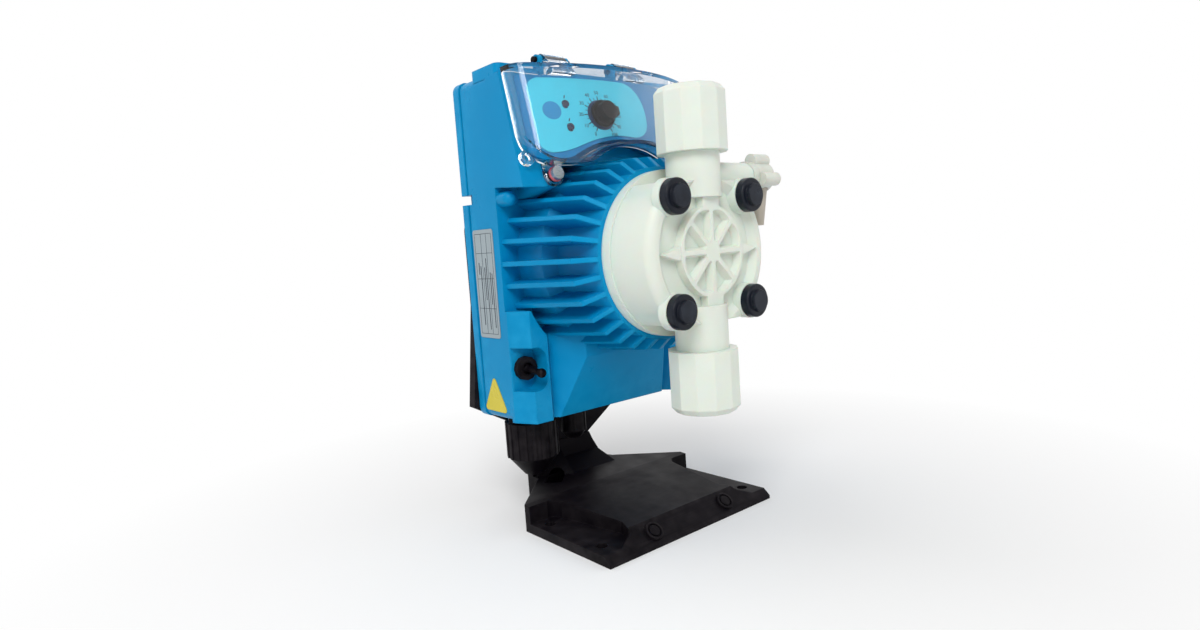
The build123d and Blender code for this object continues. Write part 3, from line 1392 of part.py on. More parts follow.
# ---------------------------------------------------------------- foot bracket
with BuildPart() as foot:
    # wedge-topped slab with a tapering tail
    with BuildSketch(Plane.YZ.offset(-foot_half)) as foot_side:
        with BuildLine():
            Polyline(
                (foot_front, 0),
                (foot_front, 1.6),
                (foot_front + foot_bevel_run, foot_front_height),
                (foot_rear, foot_rear_height),
                (foot_tail, foot_rear_height),
                (foot_tail, 0),
                close=True,
            )
        make_face()
    extrude(amount=2 * foot_half)
    with BuildSketch(Plane.XY) as tail_sides:
        for side in (-1, 1):
            with BuildLine():
                Polyline(
                    (side * (foot_half + 1), foot_rear),
                    (side * foot_half, foot_rear),
                    (side * foot_tail_half, foot_tail),
                    (side * foot_tail_half, foot_tail + 1),
                    (side * (foot_half + 1), foot_tail + 1),
                    close=True,
                )
            make_face()
    extrude(amount=foot_rear_height, mode=Mode.SUBTRACT)
    # back plate, widest just under the case, with a waist and a spreading foot
    with BuildSketch(front_plane(plate_back)) as back_plate:
        with BuildLine():
            Polyline(
                (-foot_tail_half, foot_rear_height - 1),
                (-foot_tail_half, arm_crease_z),
                (-arm_waist_half, arm_waist_z),
                (-arm_flare_half, arm_flare_z),
                (-plate_low_half, plate_bottom + 5),
                (-plate_half, plate_flare_z),
                (-plate_half, plate_top),
                (plate_half, plate_top),
                (plate_half, plate_flare_z),
                (plate_low_half, plate_bottom + 5),
                (arm_flare_half, arm_flare_z),
                (arm_waist_half, arm_waist_z),
                (arm_leg_half + 2, foot_rear_height - 1),
                close=True,
            )
        make_face()
        fillet(back_plate.vertices().group_by(Axis.Y)[-1], 8)
    extrude(amount=plate_thickness)
    # leg that leans forward from the plate's waist to the slab
    for level, left, right, front in (
        (arm_waist_z, -arm_waist_half, arm_waist_half, plate_front - 1),
        (arm_crease_z, -arm_leg_inner, arm_leg_half - 4, plate_front - 1.5),
        (foot_rear_height - 1, -arm_leg_inner, arm_leg_half, arm_leg_front),
    ):
        with BuildSketch(Plane.XY.offset(level)):
            with BuildLine():
                Polyline((left, front), (right, front), (right, plate_back), (left, plate_back), close=True)
            make_face()
    loft(ruled=True)
    # gusset on the left of the leg, with an arch through it
    with BuildSketch(Plane.XY.offset(foot_rear_height - 1)) as gusset_foot:
        with BuildLine():
            Polyline(
                (-foot_tail_half, plate_back),
                (-foot_tail_half, plate_front - 3),
                (-arm_leg_inner, arm_leg_front),
                (-arm_leg_inner + 2, plate_back),
                close=True,
            )
        make_face()
    with BuildSketch(Plane.XY.offset(arm_crease_z + 6)) as gusset_top:
        with BuildLine():
            Polyline(
                (-arm_leg_inner - 6, plate_back),
                (-arm_leg_inner - 6, plate_front - 0.5),
                (-arm_leg_inner, plate_front - 1.5),
                (-arm_leg_inner + 2, plate_back),
                close=True,
            )
        make_face()
    loft(ruled=True)
    with BuildSketch(arch_plane) as arch:
        Circle(arch_r)
    extrude(amount=arch_r * 2.4, both=True, mode=Mode.SUBTRACT)
    with BuildSketch(Plane.XY) as tail_block:
        with BuildLine():
            Polyline(
                (-foot_tail_half, foot_tail - 1),
                (foot_tail_half, foot_tail - 1),
                (arm_leg_half + 2, plate_back),
                (-foot_tail_half, plate_back),
                close=True,
            )
        make_face()
    extrude(amount=foot_rear_height)
    # pockets over the fixing holes, open at the sides
    with BuildSketch(Plane.XY.offset(foot_edge)) as foot_pockets:
        for side in (-1, 1):
            with BuildLine():
                Polyline(
                    (side * (foot_half + 1), foot_pocket_rear),
                    (side * (foot_pocket_inner + 3), foot_pocket_rear),
                    (side * foot_pocket_inner, foot_pocket_rear - 4),
                    (side * (foot_pocket_inner - 6), foot_pocket_front + 8),
                    (side * (foot_pocket_inner - 3), foot_pocket_front),
                    (side * (foot_half + 1), foot_pocket_front - 8),
                    close=True,
                )
            make_face()
        fillet(foot_pockets.vertices().filter_by(lambda v: abs(v.X) < foot_half), 4)
    extrude(amount=foot_rear_height, mode=Mode.SUBTRACT)
    with BuildSketch(Plane.XY) as foot_holes:
        with GridLocations(hole_spacing_x, hole_spacing_y, 2, 2):
            Circle(foot_hole_r)
    extrude(amount=foot_edge + 1, mode=Mode.SUBTRACT)
    # seats for the plugs in the front bevel
    for x in (-plug_x, plug_x):
        with BuildSketch(plug_plane(x)) as plug_seat:
            Circle(plug_r + slip_fit)
        extrude(amount=-plug_length - 1, mode=Mode.SUBTRACT)
    with BuildSketch(front_plane(plate_back)) as bracket_holes:
        with Locations(*bracket_screws):
            Circle(bracket_screw_r + slip_fit)
    extrude(amount=plate_thickness, mode=Mode.SUBTRACT)
finish(foot.part, "foot_bracket", BLACK)

with BuildPart() as plugs:
    for x in (-plug_x, plug_x):
        with BuildSketch(plug_plane(x).offset(-plug_length - 1)) as plug_body:
            Circle(plug_r)
        extrude(amount=plug_length + 1)
        with BuildSketch(plug_plane(x)) as plug_collar:
            Circle(plug_ring_r)
        extrude(amount=plug_proud)
        with BuildSketch(plug_plane(x).offset(plug_proud)) as plug_groove:
            Circle(plug_ring_r - 0.9)
            Circle(plug_r - 1, mode=Mode.SUBTRACT)
        extrude(amount=-0.7, mode=Mode.SUBTRACT)
finish(plugs.part, "foot_plugs", BLACK)

with BuildPart() as bracket_screw_set:
    with BuildSketch(front_plane(plate_back + bracket_head_height)) as bracket_heads:
        with Locations(*bracket_screws):
            Circle(bracket_screw_r * 2)
    extrude(amount=bracket_head_height)
    with BuildSketch(front_plane(plate_back)) as bracket_shanks:
        with Locations(*bracket_screws):
            Circle(bracket_screw_r)
    extrude(amount=bracket_screw_length + plate_thickness - 0.5)
finish(bracket_screw_set.part, "bracket_screws", STEEL)
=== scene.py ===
"""Looks of the diaphragm metering pump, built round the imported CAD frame. Metres throughout."""

import math

import bmesh
import bpy
from mathutils import Matrix, Vector


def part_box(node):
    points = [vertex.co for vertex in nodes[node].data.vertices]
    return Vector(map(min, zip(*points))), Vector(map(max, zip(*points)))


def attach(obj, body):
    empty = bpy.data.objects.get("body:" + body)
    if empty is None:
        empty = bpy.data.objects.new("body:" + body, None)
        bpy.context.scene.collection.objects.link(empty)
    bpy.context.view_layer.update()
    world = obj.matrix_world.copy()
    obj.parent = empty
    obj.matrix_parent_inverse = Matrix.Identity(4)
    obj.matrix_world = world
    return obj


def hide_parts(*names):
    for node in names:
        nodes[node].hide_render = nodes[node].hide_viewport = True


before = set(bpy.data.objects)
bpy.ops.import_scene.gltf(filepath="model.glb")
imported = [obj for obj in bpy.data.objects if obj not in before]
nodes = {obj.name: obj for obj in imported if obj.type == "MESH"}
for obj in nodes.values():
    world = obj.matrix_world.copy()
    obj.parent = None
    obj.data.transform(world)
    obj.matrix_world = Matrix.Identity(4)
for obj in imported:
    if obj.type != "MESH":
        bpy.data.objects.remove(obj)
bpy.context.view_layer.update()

# ------------------------------------------------------------------ camera
CAMERA_PLACE = Vector((-0.23326, -0.25163, 0.13260))
CAMERA_RIGHT = Vector((0.7616, -0.6440, -0.0686))
CAMERA_DOWN = Vector((-0.1162, -0.0317, -0.9928))
FOCAL_PIXELS = 729.7
IMAGE_WIDTH = 1200.0
SENSOR_WIDTH = 36.0


def add_camera():
    """Camera at the photograph's place and viewing angle."""
    right = CAMERA_RIGHT.normalized()
    ahead = right.cross(CAMERA_DOWN).normalized()
    down = ahead.cross(right)
    data = bpy.data.cameras.new("camera")
    data.sensor_width = SENSOR_WIDTH
    data.lens = FOCAL_PIXELS / IMAGE_WIDTH * SENSOR_WIDTH
    data.clip_start = 0.01
    data.clip_end = 50
    camera = bpy.data.objects.new("camera", data)
    turn = Matrix((right, -down, -ahead)).transposed()
    camera.matrix_world = Matrix.Translation(CAMERA_PLACE) @ turn.to_4x4()
    bpy.context.scene.collection.objects.link(camera)
    bpy.context.scene.camera = camera


add_camera()

# ------------------------------------------------------------------ materials
# Noise scales, in features per metre.
CLOUDS = 26
SPECKS = 900
# Patches of the edge lightening, which is partly rubbed wear and partly a painted highlight.
RUB_AND_SHEEN_PATCHES = 180
UNEVEN_GLOSS = 70
BROAD_WAVES = 45
STAINS = 60
FLOW_MARKS = 40
TINT_CLOUDS = 18
CLEAR_WAVES = 30
FLOOR_CLOUDS = 6
PRINT_GRAIN = 4000

# Heights of the bumps, in metres.
GRAIN_HEIGHT = 0.0001
BROAD_HEIGHT = 0.0006
LINE_HEIGHT = 0.0002
CLEAR_HEIGHT = 0.0005

# Pointiness at which an edge starts to lighten, as rubbed wear with a painted sheen, and is fully
# lightened.
EDGE_START = 0.52
EDGE_FULL = 0.6


class Nodes:
    """Short way to build a node material on a Principled shader."""

    def __init__(self, name):
        self.material = bpy.data.materials.new(name)
        self.material.use_nodes = True
        self.tree = self.material.node_tree
        self.shader = next(n for n in self.tree.nodes if n.type == "BSDF_PRINCIPLED")
        self.place = self.add("ShaderNodeTexCoord").outputs["Object"]

    def add(self, kind, **settings):
        """New node with its settings."""
        node = self.tree.nodes.new(kind)
        for key, value in settings.items():
            setattr(node, key, value)
        return node

    def link(self, source, target):
        self.tree.links.new(source, target)

    def noise(self, scale, detail=3.0, stretch=(1, 1, 1)):
        """Noise in object space, scale in features per metre."""
        mapping = self.add("ShaderNodeMapping")
        mapping.inputs["Scale"].default_value = stretch
        self.link(self.place, mapping.inputs["Vector"])
        noise = self.add("ShaderNodeTexNoise")
        noise.inputs["Scale"].default_value = scale
        noise.inputs["Detail"].default_value = detail
        noise.inputs["Roughness"].default_value = 0.5
        self.link(mapping.outputs["Vector"], noise.inputs["Vector"])
        return noise.outputs["Fac"]

    def spread(self, value, low, high, start=0.3, stop=0.7):
        """Value from start..stop mapped to low..high."""
        span = self.add("ShaderNodeMapRange")
        span.inputs["From Min"].default_value = start
        span.inputs["From Max"].default_value = stop
        span.inputs["To Min"].default_value = low
        span.inputs["To Max"].default_value = high
        self.link(value, span.inputs["Value"])
        return span.outputs["Result"]

    def mix(self, factor, first, second):
        """Colour mixed between two colours or sockets."""
        mix = self.add("ShaderNodeMix", data_type="RGBA")
        self.link(factor, mix.inputs["Factor"])
        for socket, value in ((mix.inputs[6], first), (mix.inputs[7], second)):
            if isinstance(value, tuple):
                socket.default_value = (*value, 1)
            else:
                self.link(value, socket)
        return mix.outputs[2]

    def join(self, operation, first, second):
        """Two values put through one mathematical operation."""
        both = self.add("ShaderNodeMath", operation=operation)
        self.link(first, both.inputs[0])
        self.link(second, both.inputs[1])
        return both.outputs[0]

    def bump(self, height, strength, distance, after=None):
        """Normal with a bump, on top of another normal if there is one."""
        bump = self.add("ShaderNodeBump")
        bump.inputs["Strength"].default_value = strength
        bump.inputs["Distance"].default_value = distance
        self.link(height, bump.inputs["Height"])
        if after is not None:
            self.link(after, bump.inputs["Normal"])
        return bump.outputs["Normal"]

    def soft_edge(self, radius):
        """Normal rounded over sharp edges, radius in metres."""
        bevel = self.add("ShaderNodeBevel", samples=4)
        bevel.inputs["Radius"].default_value = radius
        return bevel.outputs["Normal"]

    def edge_wear_and_sheen(self):
        """0 on flats, rising to 1 on outer edges, where rubbed wear and a painted sheen lighten
        the colour.
        """
        geometry = self.add("ShaderNodeNewGeometry")
        return self.spread(geometry.outputs["Pointiness"], 0.0, 1.0, EDGE_START, EDGE_FULL)


def shade(color, factor):
    """Colour made lighter or darker."""
    return tuple(min(1.0, c * factor) for c in color)


def moulded(name, color, rough, grain=2600, depth=0.12, mottle=0.10, wear_and_sheen=0.25, sheen_to=None,
            edge=0.0005, **sockets):
    """Moulded plastic: fine spark-eroded grain, soft colour clouds, edges lightened by rubbing and
    a painted sheen, uneven gloss.
    """
    m = Nodes(name)
    clouds = m.spread(m.noise(CLOUDS, detail=4), 0, 1)
    base = m.mix(clouds, shade(color, 1 - mottle), shade(color, 1 + mottle))
    specks = m.spread(m.noise(SPECKS, detail=2), 0, 0.2, 0.45, 0.75)
    base = m.mix(specks, base, shade(color, 1 - mottle))
    # Outer edges are lightened towards sheen_to: partly rubbed wear, partly a painted highlight
    # standing in for the gloss along the edges.
    rub_and_sheen = m.spread(m.noise(RUB_AND_SHEEN_PATCHES, detail=4), 0, wear_and_sheen)
    worn_and_sheen = m.join("MULTIPLY", m.edge_wear_and_sheen(), rub_and_sheen)
    base = m.mix(worn_and_sheen, base, sheen_to or shade(color, 1.5))
    m.link(base, m.shader.inputs["Base Color"])
    gloss = m.spread(m.noise(UNEVEN_GLOSS, detail=5), rough - 0.06, rough + 0.08)
    m.link(gloss, m.shader.inputs["Roughness"])
    fine = m.bump(m.noise(grain), depth, GRAIN_HEIGHT, after=m.soft_edge(edge))
    broad = m.bump(m.noise(BROAD_WAVES, detail=2), 0.05, BROAD_HEIGHT, after=fine)
    m.link(broad, m.shader.inputs["Normal"])
    for key, value in sockets.items():
        m.shader.inputs[key.replace("_", " ")].default_value = value
    return m.material


def metal(name, color, rough, stretch=(1, 1, 12), scale=420, depth=0.1):
    """Machined metal with drawn lines, faint stains and uneven polish."""
    m = Nodes(name)
    lines = m.noise(scale, detail=5, stretch=stretch)
    stains = m.spread(m.noise(STAINS, detail=4), 0, 1)
    base = m.mix(stains, shade(color, 0.82), shade(color, 1.08))
    m.link(base, m.shader.inputs["Base Color"])
    m.link(m.spread(lines, rough - 0.08, rough + 0.12), m.shader.inputs["Roughness"])
    m.link(m.bump(lines, depth, LINE_HEIGHT), m.shader.inputs["Normal"])
    m.shader.inputs["Metallic"].default_value = 1.0
    return m.material


def clear_plastic():
    """Clear moulded polycarbonate with faint flow marks and a little haze."""
    m = Nodes("clear")
    haze = m.spread(m.noise(FLOW_MARKS, detail=4), 0.0, 0.035)
    m.link(haze, m.shader.inputs["Roughness"])
    clouds = m.spread(m.noise(TINT_CLOUDS, detail=2), 0, 1)
    m.link(m.mix(clouds, (0.95, 0.965, 0.975), (0.99, 0.99, 0.99)), m.shader.inputs["Base Color"])
    waves = m.bump(m.noise(CLEAR_WAVES, detail=2), 0.05, CLEAR_HEIGHT)
    m.link(waves, m.shader.inputs["Normal"])
    m.shader.inputs["Transmission Weight"].default_value = 1.0
    m.shader.inputs["IOR"].default_value = 1.36
    return m.material


def printed(name, color, rough, depth=0.02, mottle=0.05, **sockets):
    """Smooth print or foil: no rubbed edges and hardly any grain."""
    return moulded(name, color, rough, grain=PRINT_GRAIN, depth=depth, mottle=mottle, wear_and_sheen=0,
                   **sockets)


# sheen_to is the lighter colour painted on outer edges: rubbed wear together with a painted
# highlight.
material = {
    "case": moulded("case_blue", (0.0005, 0.25, 0.52), 0.33, grain=1500, depth=0.08, mottle=0.05,
                    wear_and_sheen=0.35, edge=0.0008, sheen_to=(0.02, 0.37, 0.66), Specular_IOR_Level=0.1),
    "panel": moulded("panel_blue", (0.001, 0.2, 0.47), 0.3, grain=1500, depth=0.05, mottle=0.04,
                     Specular_IOR_Level=0.12),
    "decal": moulded("decal_blue", (0.07, 0.6, 0.8), 0.34, grain=3000, depth=0.03, mottle=0.03,
                     wear_and_sheen=0, Specular_IOR_Level=0.12),
    "ivory": moulded("ivory", (0.715, 0.765, 0.69), 0.38, grain=1800, depth=0.1, mottle=0.02,
                     wear_and_sheen=0.1, sheen_to=(0.80, 0.84, 0.79), edge=0.0007, Subsurface_Weight=0.3,
                     Subsurface_Scale=0.006, Specular_IOR_Level=0.2),
    "grey": moulded("grey_plastic", (0.60, 0.62, 0.56), 0.4, mottle=0.05, Subsurface_Weight=0.2,
                    Subsurface_Scale=0.004),
    "beige": moulded("beige_plastic", (0.42, 0.38, 0.32), 0.4, mottle=0.06),
    "black": moulded("black_plastic", (0.0036, 0.0027, 0.0042), 0.42, grain=1300, depth=0.14,
                     mottle=0.3, wear_and_sheen=0.45, sheen_to=(0.035, 0.03, 0.033), edge=0.0006,
                     Specular_IOR_Level=0.06),
    "navy": moulded("navy_cap", (0.0045, 0.007, 0.014), 0.3, grain=1600, depth=0.06, mottle=0.2,
                    wear_and_sheen=0.4, sheen_to=(0.04, 0.055, 0.08), edge=0.0007, Specular_IOR_Level=0.22),
    "rubber": moulded("rubber", (0.012, 0.012, 0.013), 0.65, grain=1000, depth=0.2, mottle=0.2),
    "pink": moulded("pink_rubber", (0.62, 0.13, 0.16), 0.5, mottle=0.08),
    "board": moulded("board_green", (0.01, 0.12, 0.045), 0.35, grain=600, depth=0.3, mottle=0.3),
    "ceramic": moulded("ceramic", (0.85, 0.84, 0.8), 0.12, depth=0.02, mottle=0.02),
    "diaphragm": moulded("diaphragm_white", (0.78, 0.78, 0.74), 0.5, mottle=0.04),
    "lamp": moulded("lamp_dark", (0.01, 0.02, 0.06), 0.12, depth=0.02),
    "label": printed("label_grey", (0.30, 0.36, 0.39), 0.35, depth=0.04),
    "yellow": printed("label_yellow", (0.62, 0.52, 0.02), 0.32, depth=0.04),
    "print": printed("print_navy", (0.004, 0.035, 0.12), 0.45),
    "print_blue": printed("print_blue", (0.004, 0.25, 0.55), 0.4, mottle=0.04),
    "print_grey": printed("print_grey", (0.035, 0.05, 0.07), 0.5),
    "steel": metal("steel", (0.62, 0.62, 0.63), 0.3),
    "copper": metal("copper", (0.85, 0.42, 0.22), 0.3, stretch=(1, 30, 1), scale=300, depth=0.4),
    "clear": clear_plastic(),
}

finish_of = {
    "case": ["front_housing", "rear_cover"],
    "panel": ["control_panel"],
    "decal": ["panel_decal"],
    "ivory": ["head_spacer", "pump_head", "suction_cage", "discharge_cage", "suction_nut",
              "discharge_nut", "suction_nozzle", "discharge_nozzle", "suction_clamp_ring",
              "discharge_clamp_ring"],
    "grey": ["suction_seat", "discharge_seat", "bleed_body", "bleed_knob"],
    "beige": ["bleed_nozzle"],
    "black": ["rate_knob", "hinge_pins", "switch_body", "switch_ring", "toggle_lever",
              "power_gland_body", "power_gland_nut", "signal_gland_body", "signal_gland_nut",
              "coil_bobbin", "foot_bracket", "foot_plugs"],
    "navy": ["bolt_caps"],
    "rubber": ["case_gasket", "power_gland_seal", "signal_gland_seal", "suction_o_ring",
               "discharge_o_ring"],
    "pink": ["screw_seals"],
    "board": ["circuit_board"],
    "ceramic": ["suction_ball", "discharge_ball"],
    "diaphragm": ["diaphragm"],
    "label": ["rating_plate"],
    "yellow": ["side_sticker"],
    "lamp": ["status_lamps"],
    "steel": ["case_screws", "potentiometer", "knob_shaft", "cover_screws", "magnet_yoke",
              "pole_piece", "plunger", "push_rod", "return_spring", "head_bolts",
              "bracket_screws"],
    "copper": ["solenoid_coil"],
    "clear": ["clear_cover"],
}
for kind, names in finish_of.items():
    for name in names:
        for material_slot in nodes[name].material_slots:
            material_slot.material = material[kind]

# ------------------------------------------------------------------ printed pieces
CASE_ROOF = 0.211
PANEL_SLOPE = math.tan(math.radians(14))
PANEL_APEX = 0.0111
PANEL_BOW = 0.112
HEAD_Z = 0.1256

DECAL_THICKNESS = 0.0004
PRINT_THICKNESS = 0.00005
PRINT_SINK = 0.00002        # a print starts this far inside the surface under it
PLATE_SINK = 0.00001
LENS_HEIGHT = 0.0004

KNOB = (-0.010, 0.190)      # (x, z) of the centres on the panel
LAMPS = ((-0.027, 0.1948), (-0.027, 0.1843))
BUTTON = (-0.0337, 0.1917)
BUTTON_RADIUS = 0.0041
LAMP_RADIUS = 0.0016

DIAL_START = 240            # degrees, where 0 stands on the dial
DIAL_STEP = 30              # degrees from one number to the next
DIAL_NUMBERS = 11
DIAL_MARK = {"reach": 0.0079, "length": 0.0017, "width": 0.00045}
DIAL_SHORT_MARK = {"reach": 0.0076, "length": 0.0009, "width": 0.0003}
NUMBER_REACH = 0.0104
NUMBER_SIZE = 0.0024
DIAL_RING = (0.0040, 0.0070)

STROKE_OFFSET = (0.0002, 0.0031)    # short stroke over each lamp
STROKE_SIZE = (0.0015, 0.0005)
STROKE_ANGLE = math.radians(70)

PLATE_MARGINS = (0.0015, 0.002)     # along y and z
PLATE_COLUMNS = (0.0045, 0.0090)    # rules, from the table's front and lower edges
PLATE_ROWS = (0.012, 0.026)
PLATE_TOP_ROW = 0.009               # from its upper edge
# Bars in place of words: distance across, start, and share of the height that is left.
PLATE_BARS = ((0.0015, 0.003, 0.62), (0.0030, 0.014, 0.5), (0.0060, 0.002, 0.8),
              (0.0075, 0.016, 0.55), (0.0107, 0.004, 0.7), (0.0122, 0.028, 0.35))
PLATE_BARS_END = 0.003              # the bars stop this far under the top rule
PLATE_LINE = 0.00022
PLATE_BAR = 0.0006


def panel_point(x, z, proud):
    """Point of the bowed, leaning control panel, a distance in front of it."""
    bow = PANEL_BOW - math.sqrt(PANEL_BOW**2 - x**2)
    return Vector((x, PANEL_APEX + bow - (CASE_ROOF - z) * PANEL_SLOPE - proud, z))


def side_point(y, z, proud):
    """Point of the rating plate on the left side of the case, a distance in front of it."""
    return Vector((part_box("rating_plate")[0].x - proud, y, z))


def piece(name, mesh_data, kind, body="pump_case"):
    """Object of the visual model with its finish, on its body."""
    made = bpy.data.objects.new(name, mesh_data)
    bpy.context.scene.collection.objects.link(made)
    made.data.materials.append(material[kind])
    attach(made, body)
    return made


def to_mesh(bm, name):
    """Mesh with its points joined and its faces turned outwards."""
    bmesh.ops.remove_doubles(bm, verts=bm.verts, dist=1e-7)
    bmesh.ops.recalc_face_normals(bm, faces=bm.faces)
    data = bpy.data.meshes.new(name)
    bm.to_mesh(data)
    bm.free()
    return data


def slab(bm, columns, place, low, high):
    """Closed sheet over a grid of (across, up) columns, from a low to a high distance."""
    back, front = ([[bm.verts.new(place(u, v, proud)) for u, v in column] for column in columns]
                   for proud in (low, high))
    last = len(columns) - 1
    rows = len(columns[0]) - 1
    for i in range(last):
        for j in range(rows):
            for sheet in (back, front):
                corners = [sheet[i][j], sheet[i + 1][j], sheet[i + 1][j + 1], sheet[i][j + 1]]
                bm.faces.new(corners if sheet is front else corners[::-1])
    rim = [(i, 0) for i in range(last)] + [(last, j) for j in range(rows)]
    rim += [(i, rows) for i in range(last, 0, -1)] + [(0, j) for j in range(rows, 0, -1)]
    for (i, j), (k, m) in zip(rim, rim[1:] + rim[:1]):
        bm.faces.new((back[i][j], back[k][m], front[k][m], front[i][j]))


def bar(bm, place, centre, length, width, angle, low, high):
    """Thin printed bar, its length along the angle."""
    along = Vector((math.cos(angle), math.sin(angle)))
    across = Vector((-along.y, along.x))
    columns = []
    for s in (-0.5, 0.0, 0.5):
        foot = Vector(centre) + along * (s * length)
        columns.append([tuple(foot + across * (t * width)) for t in (-0.5, 0.5)])
    slab(bm, columns, place, low, high)


def disc(bm, place, centre, radius, low, high, inner=0.0, steps=40):
    """Printed disc, or ring if it has an inner radius."""
    for k in range(steps):
        columns = []
        for angle in (2 * math.pi * n / steps for n in (k, k + 1)):
            turn = Vector((math.cos(angle), math.sin(angle)))
            radii = (inner, (inner + radius) / 2, radius)
            columns.append([tuple(Vector(centre) + turn * r) for r in radii])
        if inner > 0:
            slab(bm, columns, place, low, high)
            continue
        for proud in (low, high):
            near, far = ([bm.verts.new(place(u, v, proud)) for u, v in column[1:]]
                         for column in columns)
            hub = bm.verts.new(place(*centre, proud))
            bm.faces.new((hub, near[0], far[0]))
            bm.faces.new((near[0], near[1], far[1], far[0]))
        edge = [place(*column[-1], proud) for proud in (low, high) for column in columns]
        bm.faces.new([bm.verts.new(edge[n]) for n in (0, 1, 3, 2)])


def number(bm, place, text, centre, size, low, high):
    """Printed number, centred."""
    curve = bpy.data.curves.new("number", "FONT")
    curve.body = text
    curve.size = size
    curve.align_x = "CENTER"
    curve.align_y = "CENTER"
    curve.extrude = (high - low) / 2
    curve.resolution_u = 3
    holder = bpy.data.objects.new("number", curve)
    bpy.context.scene.collection.objects.link(holder)
    graph = bpy.context.evaluated_depsgraph_get()
    flat = bpy.data.meshes.new_from_object(holder.evaluated_get(graph))
    bpy.data.objects.remove(holder)
    for vertex in flat.vertices:
        u, v, w = vertex.co
        vertex.co = place(centre[0] + u, centre[1] + v, (low + high) / 2 + w)
    bm.from_mesh(flat)
    bpy.data.meshes.remove(flat)


def decal_columns(left, right, top, low, arch, corner, end, blend=0.004, steps=60, rows=8):
    """Light print's outline: rounded at the left and right, its lower edge over the fin drum."""
    columns = []
    for k in range(steps + 1):
        x = left + (right - left) * 0.5 * (1 - math.cos(math.pi * k / steps))
        over = HEAD_Z + math.sqrt(arch**2 - x**2)
        bottom = 0.5 * (low + over + math.sqrt((low - over) ** 2 + blend**2))
        upper = top
        for start, radius in ((x - left, corner), (right - x, end)):
            if start < radius:
                cut = radius - math.sqrt(max(0.0, radius**2 - (radius - start) ** 2))
                upper -= cut
                bottom += cut
        columns.append([(x, bottom + (upper - bottom) * j / rows) for j in range(rows + 1)])
    return columns


def add_decal():
    """Light print over most of the control panel."""
    bm = bmesh.new()
    columns = decal_columns(left=-0.0425, right=0.0195, top=0.2066, low=0.1722, arch=0.0545,
                            corner=0.0060, end=0.0135)
    slab(bm, columns, panel_point, PRINT_SINK, DECAL_THICKNESS)
    made = piece("panel_print", to_mesh(bm, "panel_print"), "decal")
    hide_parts("panel_decal")


def add_dial(bm, low, high):
    """Numbers 0 to 100 with a mark at each and a shorter one between, and a ring."""
    for k in range(2 * DIAL_NUMBERS - 1):
        angle = math.radians(DIAL_START - DIAL_STEP * k / 2)
        turn = Vector((math.cos(angle), math.sin(angle)))
        mark = DIAL_SHORT_MARK if k % 2 else DIAL_MARK
        middle = Vector(KNOB) + turn * mark["reach"]
        bar(bm, panel_point, middle, mark["length"], mark["width"], angle, low, high)
        if k % 2 == 0:
            middle = Vector(KNOB) + turn * NUMBER_REACH
            number(bm, panel_point, str(5 * k), middle, NUMBER_SIZE, low, high)
    inner, outer = DIAL_RING
    disc(bm, panel_point, KNOB, outer, low, high, inner=inner)


def add_panel_marks():
    """Dial, a short stroke over each lamp, the lamps' lenses and a plain button disc."""
    low = DECAL_THICKNESS - PRINT_SINK
    high = DECAL_THICKNESS + PRINT_THICKNESS
    bm = bmesh.new()
    add_dial(bm, low, high)
    for lamp in LAMPS:
        stroke = Vector(lamp) + Vector(STROKE_OFFSET)
        bar(bm, panel_point, stroke, *STROKE_SIZE, STROKE_ANGLE, low, high)
    piece("panel_marks", to_mesh(bm, "panel_marks"), "print")
    bm = bmesh.new()
    for lamp in LAMPS:
        disc(bm, panel_point, lamp, LAMP_RADIUS, low, high + LENS_HEIGHT, steps=24)
    piece("lamp_lenses", to_mesh(bm, "lamp_lenses"), "lamp")
    bm = bmesh.new()
    disc(bm, panel_point, BUTTON, BUTTON_RADIUS, low, high)
    piece("panel_button", to_mesh(bm, "panel_button"), "print_blue")


def add_plate_print():
    """Generic ruled table on the rating plate, with plain bars in place of words."""
    low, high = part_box("rating_plate")
    margin_y, margin_z = PLATE_MARGINS
    y0, y1 = low.y + margin_y, high.y - margin_y
    z0, z1 = low.z + margin_z, high.z - margin_z
    middle_y, middle_z = (y0 + y1) / 2, (z0 + z1) / 2
    depth = (-PLATE_SINK, PRINT_THICKNESS)
    upright = math.pi / 2
    bm = bmesh.new()
    for y in (y0, y1, *(y0 + across for across in PLATE_COLUMNS)):
        bar(bm, side_point, (y, middle_z), z1 - z0, PLATE_LINE, upright, *depth)
    for z in (z0, *(z0 + up for up in PLATE_ROWS), z1 - PLATE_TOP_ROW, z1):
        bar(bm, side_point, (middle_y, z), y1 - y0, PLATE_LINE, 0, *depth)
    for across, start, share in PLATE_BARS:
        length = (z1 - z0 - start - PLATE_BARS_END) * share
        middle = (y0 + across, z0 + start + length / 2)
        bar(bm, side_point, middle, length, PLATE_BAR, upright, *depth)
    piece("plate_lines", to_mesh(bm, "plate_lines"), "print_grey")


add_decal()
add_panel_marks()
add_plate_print()

# ------------------------------------------------------------------ stage and light
FLOOR_HALF = 6.0
FLOOR_COLOR = (0.95, 0.95, 0.95)
WHITE_FROM, WHITE_AT = 0.09, 0.30   # distance from the origin at which the floor turns white
CASE_MIDDLE = (0, 0, 0.12)


def seen_directly(tree):
    """1 for the rays that show the white background: from the camera, gloss and glass."""
    path = tree.nodes.new("ShaderNodeLightPath")
    seen = path.outputs["Is Camera Ray"]
    for ray in ("Is Glossy Ray", "Is Transmission Ray"):
        either = tree.nodes.new("ShaderNodeMath")
        either.operation = "MAXIMUM"
        tree.links.new(seen, either.inputs[0])
        tree.links.new(path.outputs[ray], either.inputs[1])
        seen = either.outputs[0]
    return seen


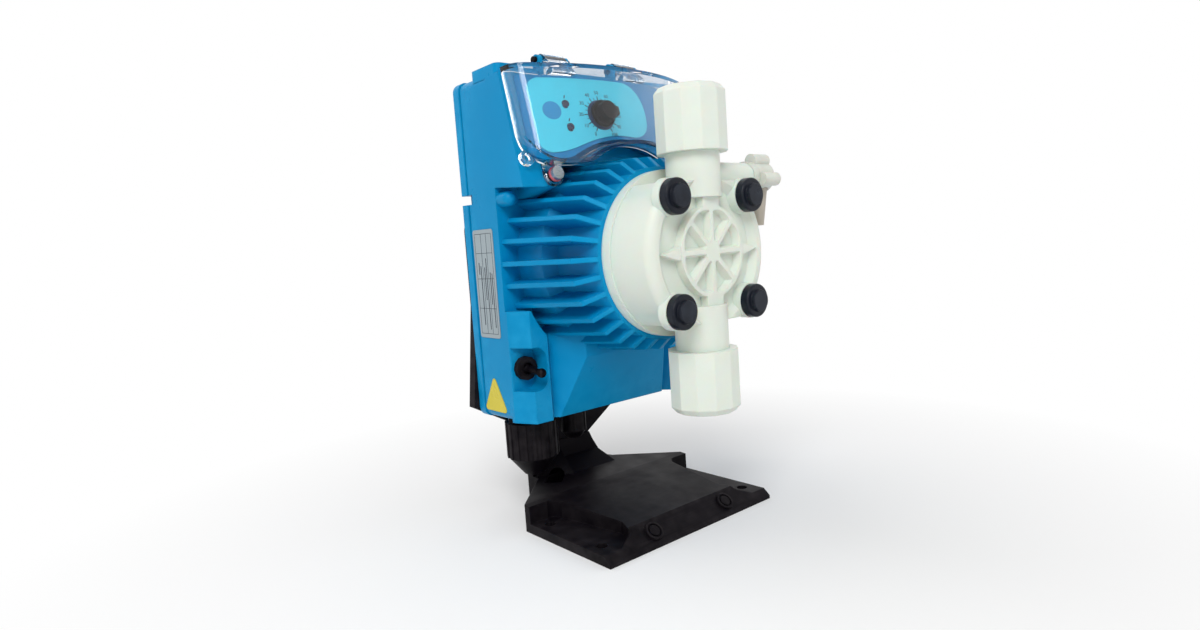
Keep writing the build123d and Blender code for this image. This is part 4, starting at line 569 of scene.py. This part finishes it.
def floor_material():
    """Pale plain floor that keeps the object's shadow and turns plain white away from it."""
    m = Nodes("floor")
    clouds = m.mix(m.noise(FLOOR_CLOUDS), shade(FLOOR_COLOR, 0.985), FLOOR_COLOR)
    m.link(clouds, m.shader.inputs["Base Color"])
    m.shader.inputs["Roughness"].default_value = 0.9
    m.shader.inputs["Specular IOR Level"].default_value = 0.1
    white = m.add("ShaderNodeEmission")
    white.inputs["Strength"].default_value = 1.0
    distance = m.add("ShaderNodeVectorMath", operation="LENGTH")
    m.link(m.place, distance.inputs[0])
    away = m.spread(distance.outputs["Value"], 0, 1, WHITE_FROM, WHITE_AT)
    mix = m.add("ShaderNodeMixShader")
    m.link(m.join("MULTIPLY", away, seen_directly(m.tree)), mix.inputs[0])
    m.link(m.shader.outputs[0], mix.inputs[1])
    m.link(white.outputs[0], mix.inputs[2])
    out = next(n for n in m.tree.nodes if n.type == "OUTPUT_MATERIAL")
    m.link(mix.outputs[0], out.inputs["Surface"])
    return m.material


def add_stage():
    """Floor under the part."""
    half = FLOOR_HALF
    corners = [(-half, -half, 0), (half, -half, 0), (half, half, 0), (-half, half, 0)]
    mesh = bpy.data.meshes.new("floor")
    mesh.from_pydata(corners, [], [(0, 1, 2, 3)])
    floor = bpy.data.objects.new("floor", mesh)
    bpy.context.scene.collection.objects.link(floor)
    floor.data.materials.append(floor_material())


def add_area(name, place, target, size, power, glossy=True):
    """Soft lamp aimed at a point, hidden from reflections if it isn't glossy."""
    data = bpy.data.lights.new(name, "AREA")
    data.shape = "RECTANGLE"
    data.size, data.size_y = size
    data.energy = power
    lamp = bpy.data.objects.new(name, data)
    aim = (Vector(target) - Vector(place)).to_track_quat("-Z", "Y")
    lamp.matrix_world = Matrix.Translation(place) @ aim.to_matrix().to_4x4()
    lamp.visible_glossy = glossy
    bpy.context.scene.collection.objects.link(lamp)


def add_world(strength):
    """Even grey sky for the light, plain white where the camera, gloss or glass looks at it."""
    world = bpy.data.worlds.new("world")
    bpy.context.scene.world = world
    world.use_nodes = True
    tree = world.node_tree
    tree.nodes.clear()
    mix = tree.nodes.new("ShaderNodeMixShader")
    tree.links.new(seen_directly(tree), mix.inputs[0])
    for socket, level in ((mix.inputs[1], strength), (mix.inputs[2], 1.0)):
        sky = tree.nodes.new("ShaderNodeBackground")
        sky.inputs["Color"].default_value = (1, 1, 1, 1)
        sky.inputs["Strength"].default_value = level
        tree.links.new(sky.outputs[0], socket)
    out = tree.nodes.new("ShaderNodeOutputWorld")
    tree.links.new(mix.outputs[0], out.inputs["Surface"])


add_stage()
add_world(0.44)
add_area("key", (-0.62, -0.58, 0.80), CASE_MIDDLE, (0.5, 0.5), 7.2)
add_area("fill", (0.8, -0.5, 0.45), CASE_MIDDLE, (0.8, 0.6), 1.4, glossy=False)
add_area("back", (-0.3, 0.8, 0.8), (0, 0, 0.15), (0.8, 0.5), 3.0, glossy=False)

scene = bpy.context.scene
scene.view_settings.view_transform = "Standard"
